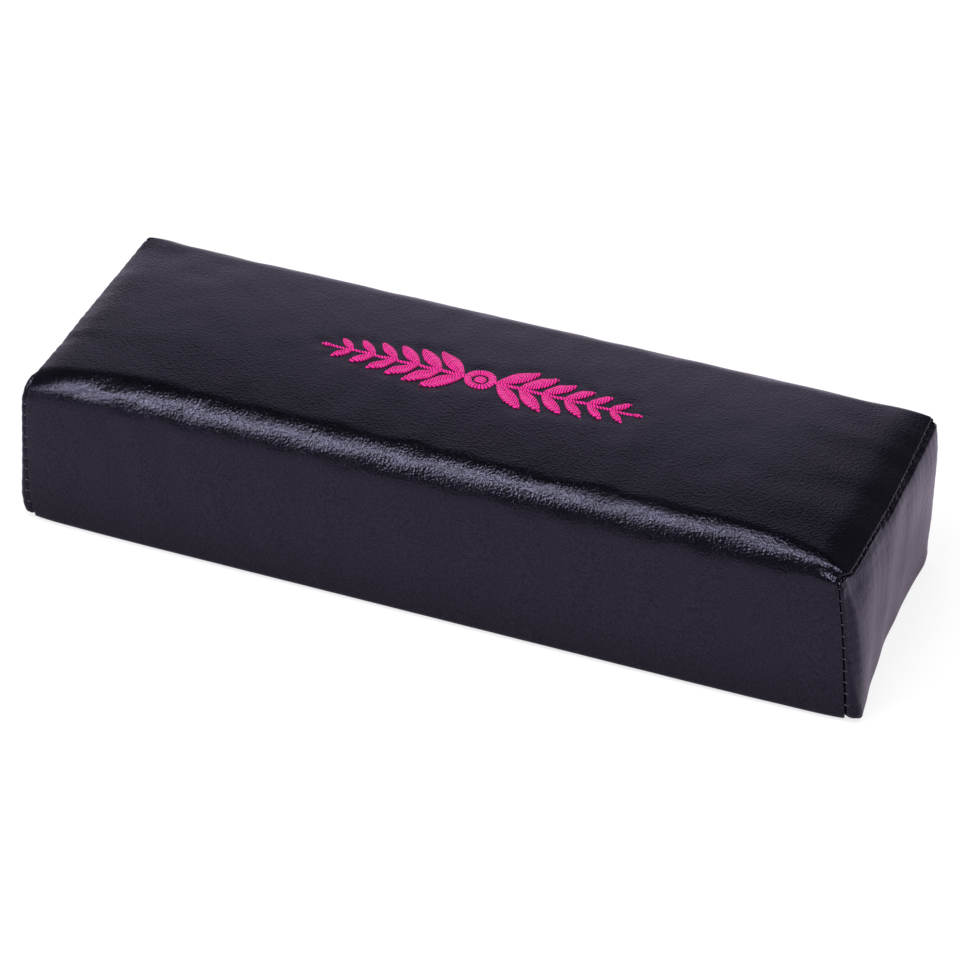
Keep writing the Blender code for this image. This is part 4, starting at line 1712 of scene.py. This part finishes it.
@dataclass
class Studio:
    """A pale table, plain soft light and the photograph's camera."""

    # The camera's focal length and picture width in pixels, its angles in degrees, and its
    # distance in mm
    focal: float = 3980.4
    frame: float = 960.0
    elevation: float = 35.536
    yaw: float = -20.082
    roll: float = -1.479
    offset: tuple[float, float, float] = (-1.239, -19.897, 1369.452)
    sensor: float = 36.0
    # The share of the table's white that is its own, as the camera sees it
    table_glow: float = 0.75
    table_half: float = 6.0
    # How bright the table glows where the cover mirrors it: by the rest, where a painted shadow stands for
    # the rest keeping the light off it, and past the reach of that painted shadow; and half the rest's
    # length and depth
    mirror_glow_with_painted_shadow: tuple[float, float] = (0.45, 0.75)
    painted_shadow_reach: float = 30 * MM
    rest_half: tuple[float, float] = (150 * MM, 50 * MM)
    # The dark ceiling starts between these two shares of straight up
    ceiling: tuple[float, float] = (0.68, 0.83)
    ceiling_light: float = 0.008
    # The bright wall: its bearing in radians to the left of straight behind the rest, the angles
    # from its middle between which it fades, and how bright it is at each of them
    wall_bearing: float = 0.345
    wall_fade: tuple[float, float] = (0.10, 0.60)
    wall_light: tuple[float, float] = (0.66, 0.12)
    fill_light: float = 0.85
    # The lamps, in metres and watts
    lamp_colour: tuple[float, float, float] = (0.93, 0.90, 1.0)
    strip_middle: tuple[float, float, float] = (-0.3668, -0.5760, 0.8375)
    strip_way: tuple[float, float, float] = (0.649, 0.617, 0.445)
    strip_size: tuple[float, float] = (1.40, 0.08)
    strip_energy: float = 10.8
    corner_way: tuple[float, float, float] = (0.40, -0.405, 0.823)
    corner_size: float = 0.26
    corner_energy: float = 3.0

    def link(self, name: str, data: bpy.types.ID) -> bpy.types.Object:
        """Puts a camera, a light or a mesh in the scene.

        Args:
            name: What it is.
            data: The camera, light or mesh.

        Returns:
            The object.
        """
        obj = bpy.data.objects.new(name, data)
        bpy.context.scene.collection.objects.link(obj)
        return obj

    def build_camera(self) -> None:
        """Puts the camera where the photograph was taken from."""
        turn = Matrix.Rotation(math.radians(self.roll), 3, "Z")
        turn = turn @ Matrix.Rotation(-(math.pi / 2 - math.radians(self.elevation)), 3, "X")
        turn = turn @ Matrix.Rotation(math.radians(self.yaw), 3, "Z")
        move = Vector((self.offset[0], self.offset[1], -self.offset[2])) * MM
        data = bpy.data.cameras.new("camera")
        data.sensor_width = self.sensor
        data.lens = self.focal / self.frame * self.sensor
        data.clip_start = 0.05
        data.clip_end = 50.0
        camera = self.link("camera", data)
        back = turn.transposed()
        camera.matrix_world = Matrix.Translation(-(back @ move)) @ back.to_4x4()
        bpy.context.scene.camera = camera

    def build_floor(self) -> None:
        """Lays the table, white to the camera but for the object's shadow, with a painted shadow by the
        rest where the cover mirrors it.
        """
        material, shading, shader = new_material("white_table")
        shader.inputs["Base Color"].default_value = linear_colour("#f2f2f3")
        shader.inputs["Roughness"].default_value = 0.9
        shader.inputs["Specular IOR Level"].default_value = 0.0
        glow = shading.add("Emission", {"Color": linear_colour("#ffffff"), "Strength": 1.0})
        seen = shading.reckon("MULTIPLY", shading.ray("Camera"), self.table_glow)
        table = shading.add("MixShader", {0: seen, 1: shader.outputs["BSDF"], 2: glow})
        # How far the table's place lies outside the rest's outline
        place = shading.add("NewGeometry", output="Position")
        gaps = []
        for axis, half in zip("XY", self.rest_half):
            far = shading.reckon("ABSOLUTE", shading.add("SeparateXYZ", {"Vector": place}, axis))
            gaps.append(shading.reckon("SUBTRACT", far, half))
        gap = shading.reckon("MAXIMUM", *gaps)
        # As the cover mirrors it, the table glows a little violet, and a painted shadow darkens it near the
        # rest
        painted_shadow_glow = shading.span(gap, (0.0, self.painted_shadow_reach), self.mirror_glow_with_painted_shadow)
        mirror_image = shading.add("Emission", {"Color": linear_colour("#f6e6ff"), "Strength": painted_shadow_glow})
        other = shading.reckon("MAXIMUM", shading.ray("Glossy"), shading.ray("Transmission"))
        whole = shading.add("MixShader", {0: other, 1: table, 2: mirror_image})
        shading.give(shading.tree.nodes["Material Output"].inputs["Surface"], whole)
        bm = bmesh.new()
        bmesh.ops.create_grid(bm, x_segments=2, y_segments=2, size=self.table_half)
        mesh = bpy.data.meshes.new("table")
        bm.to_mesh(mesh)
        bm.free()
        mesh.materials.append(material)
        floor = self.link("table", mesh)

    def build_world(self) -> None:
        """Surrounds the object with plain light: white low down and behind, dark overhead."""
        world = bpy.data.worlds.new("studio")
        bpy.context.scene.world = world
        world.use_nodes = True
        shading = Shading(world.node_tree)
        way = shading.add("TexCoord", output="Generated")
        x, y, z = (shading.add("SeparateXYZ", {"Vector": way}, axis) for axis in "XYZ")
        soft = {"interpolation_type": "SMOOTHSTEP"}
        low = shading.span(z, self.ceiling, (1.0, 0.0), **soft)
        turned = shading.reckon("ADD", shading.reckon("ARCTAN2", x, y), self.wall_bearing)
        aside = shading.reckon("ABSOLUTE", turned)
        behind = shading.span(aside, self.wall_fade, self.wall_light, **soft)
        room = shading.reckon("MULTIPLY_ADD", low, behind, self.ceiling_light)
        reflected = shading.reckon("MULTIPLY", room, shading.ray("Glossy"))
        seen = shading.reckon("MAXIMUM", shading.ray("Camera"), shading.ray("Transmission"))
        fill = shading.reckon("MULTIPLY_ADD", shading.ray("Diffuse"), self.fill_light, seen)
        background = world.node_tree.nodes["Background"]
        shading.give(background.inputs["Strength"], shading.reckon("ADD", reflected, fill))
        # Mirrored in the cover, the room is a little violet
        tint = shading.shades(shading.ray("Glossy"), "#ffffff", "#ede3ff")
        shading.give(background.inputs["Color"], tint)

    def hang(self, name: str, energy: float, place: Matrix, **shape: object) -> None:
        """Hangs an area light.

        Args:
            name: What it is.
            energy: In watts.
            place: Its place and turn.
            **shape: Its outline and sizes.
        """
        lamp = bpy.data.lights.new(name, "AREA")
        for key, value in shape.items():
            setattr(lamp, key, value)
        lamp.energy = energy
        lamp.color = self.lamp_colour
        self.link(name, lamp).matrix_world = place

    def build_lamps(self) -> None:
        """Hangs the strip light that draws the front shoulder's highlight, and one for the corner."""
        middle = Vector(self.strip_middle)
        back = middle.normalized()
        side = back.cross(Vector(self.strip_way)).normalized()
        turn = Matrix((side.cross(back), side, back)).transposed()
        place = Matrix.Translation(middle) @ turn.to_4x4()
        length, width = self.strip_size
        shape = {"shape": "RECTANGLE", "size": length, "size_y": width}
        self.hang("strip_light", self.strip_energy, place, **shape)
        way = Vector(self.corner_way).normalized()
        place = Matrix.Translation(way) @ way.to_track_quat("Z", "Y").to_matrix().to_4x4()
        self.hang("corner_light", self.corner_energy, place, shape="DISK", size=self.corner_size)

    def build(self) -> None:
        """Sets up camera, table, world and lamps."""
        self.build_camera()
        self.build_floor()
        self.build_world()
        self.build_lamps()
        bpy.context.scene.view_settings.view_transform = "Standard"


def dress(nodes: list[bpy.types.Object], material: bpy.types.Material) -> None:
    """Gives CAD nodes a better finish.

    Args:
        nodes: The nodes.
        material: Their finish.
    """
    for obj in nodes:
        for slot in obj.material_slots:
            slot.material = material


def main() -> None:
    """Builds the hand rest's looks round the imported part."""
    logging.basicConfig(level=logging.INFO, format="%(name)s: %(message)s")
    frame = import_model()
    nodes = frame["nodes"]

    leather = ImitationLeather().build()
    thread = SewingThread().build()
    form = CushionForm()
    garland = Garland(form, EmbroideryThread().build())
    wrap = WrapCover(form, SeamPlan(), leather, garland=garland)
    wrap.stuff(Stuffing())
    wrap.build()
    LOG.info("wrap panel done")
    for end, node in ((End.LEFT, "left_end_panel"), (End.RIGHT, "right_end_panel")):
        panel = EndPanel(end, wrap, node)
        panel.build()
        panel.build_stitches(thread)
        LOG.info("%s end done", end.name.lower())
    garland.build(wrap)
    LOG.info("embroidery done")
    FoamBlock(form, OpenFoam().build()).build()
    LOG.info("foam done")
    dress([nodes["base_board"]], Fibreboard().build())
    dress([nodes["dust_cloth"]], NonwovenCloth().build())
    dress([obj for name, obj in nodes.items() if name.startswith("staple_")], GalvanisedWire().build())
    LOG.info("board, dust cloth and staples dressed")
    Studio().build()


if __name__ == "__main__":
    main()
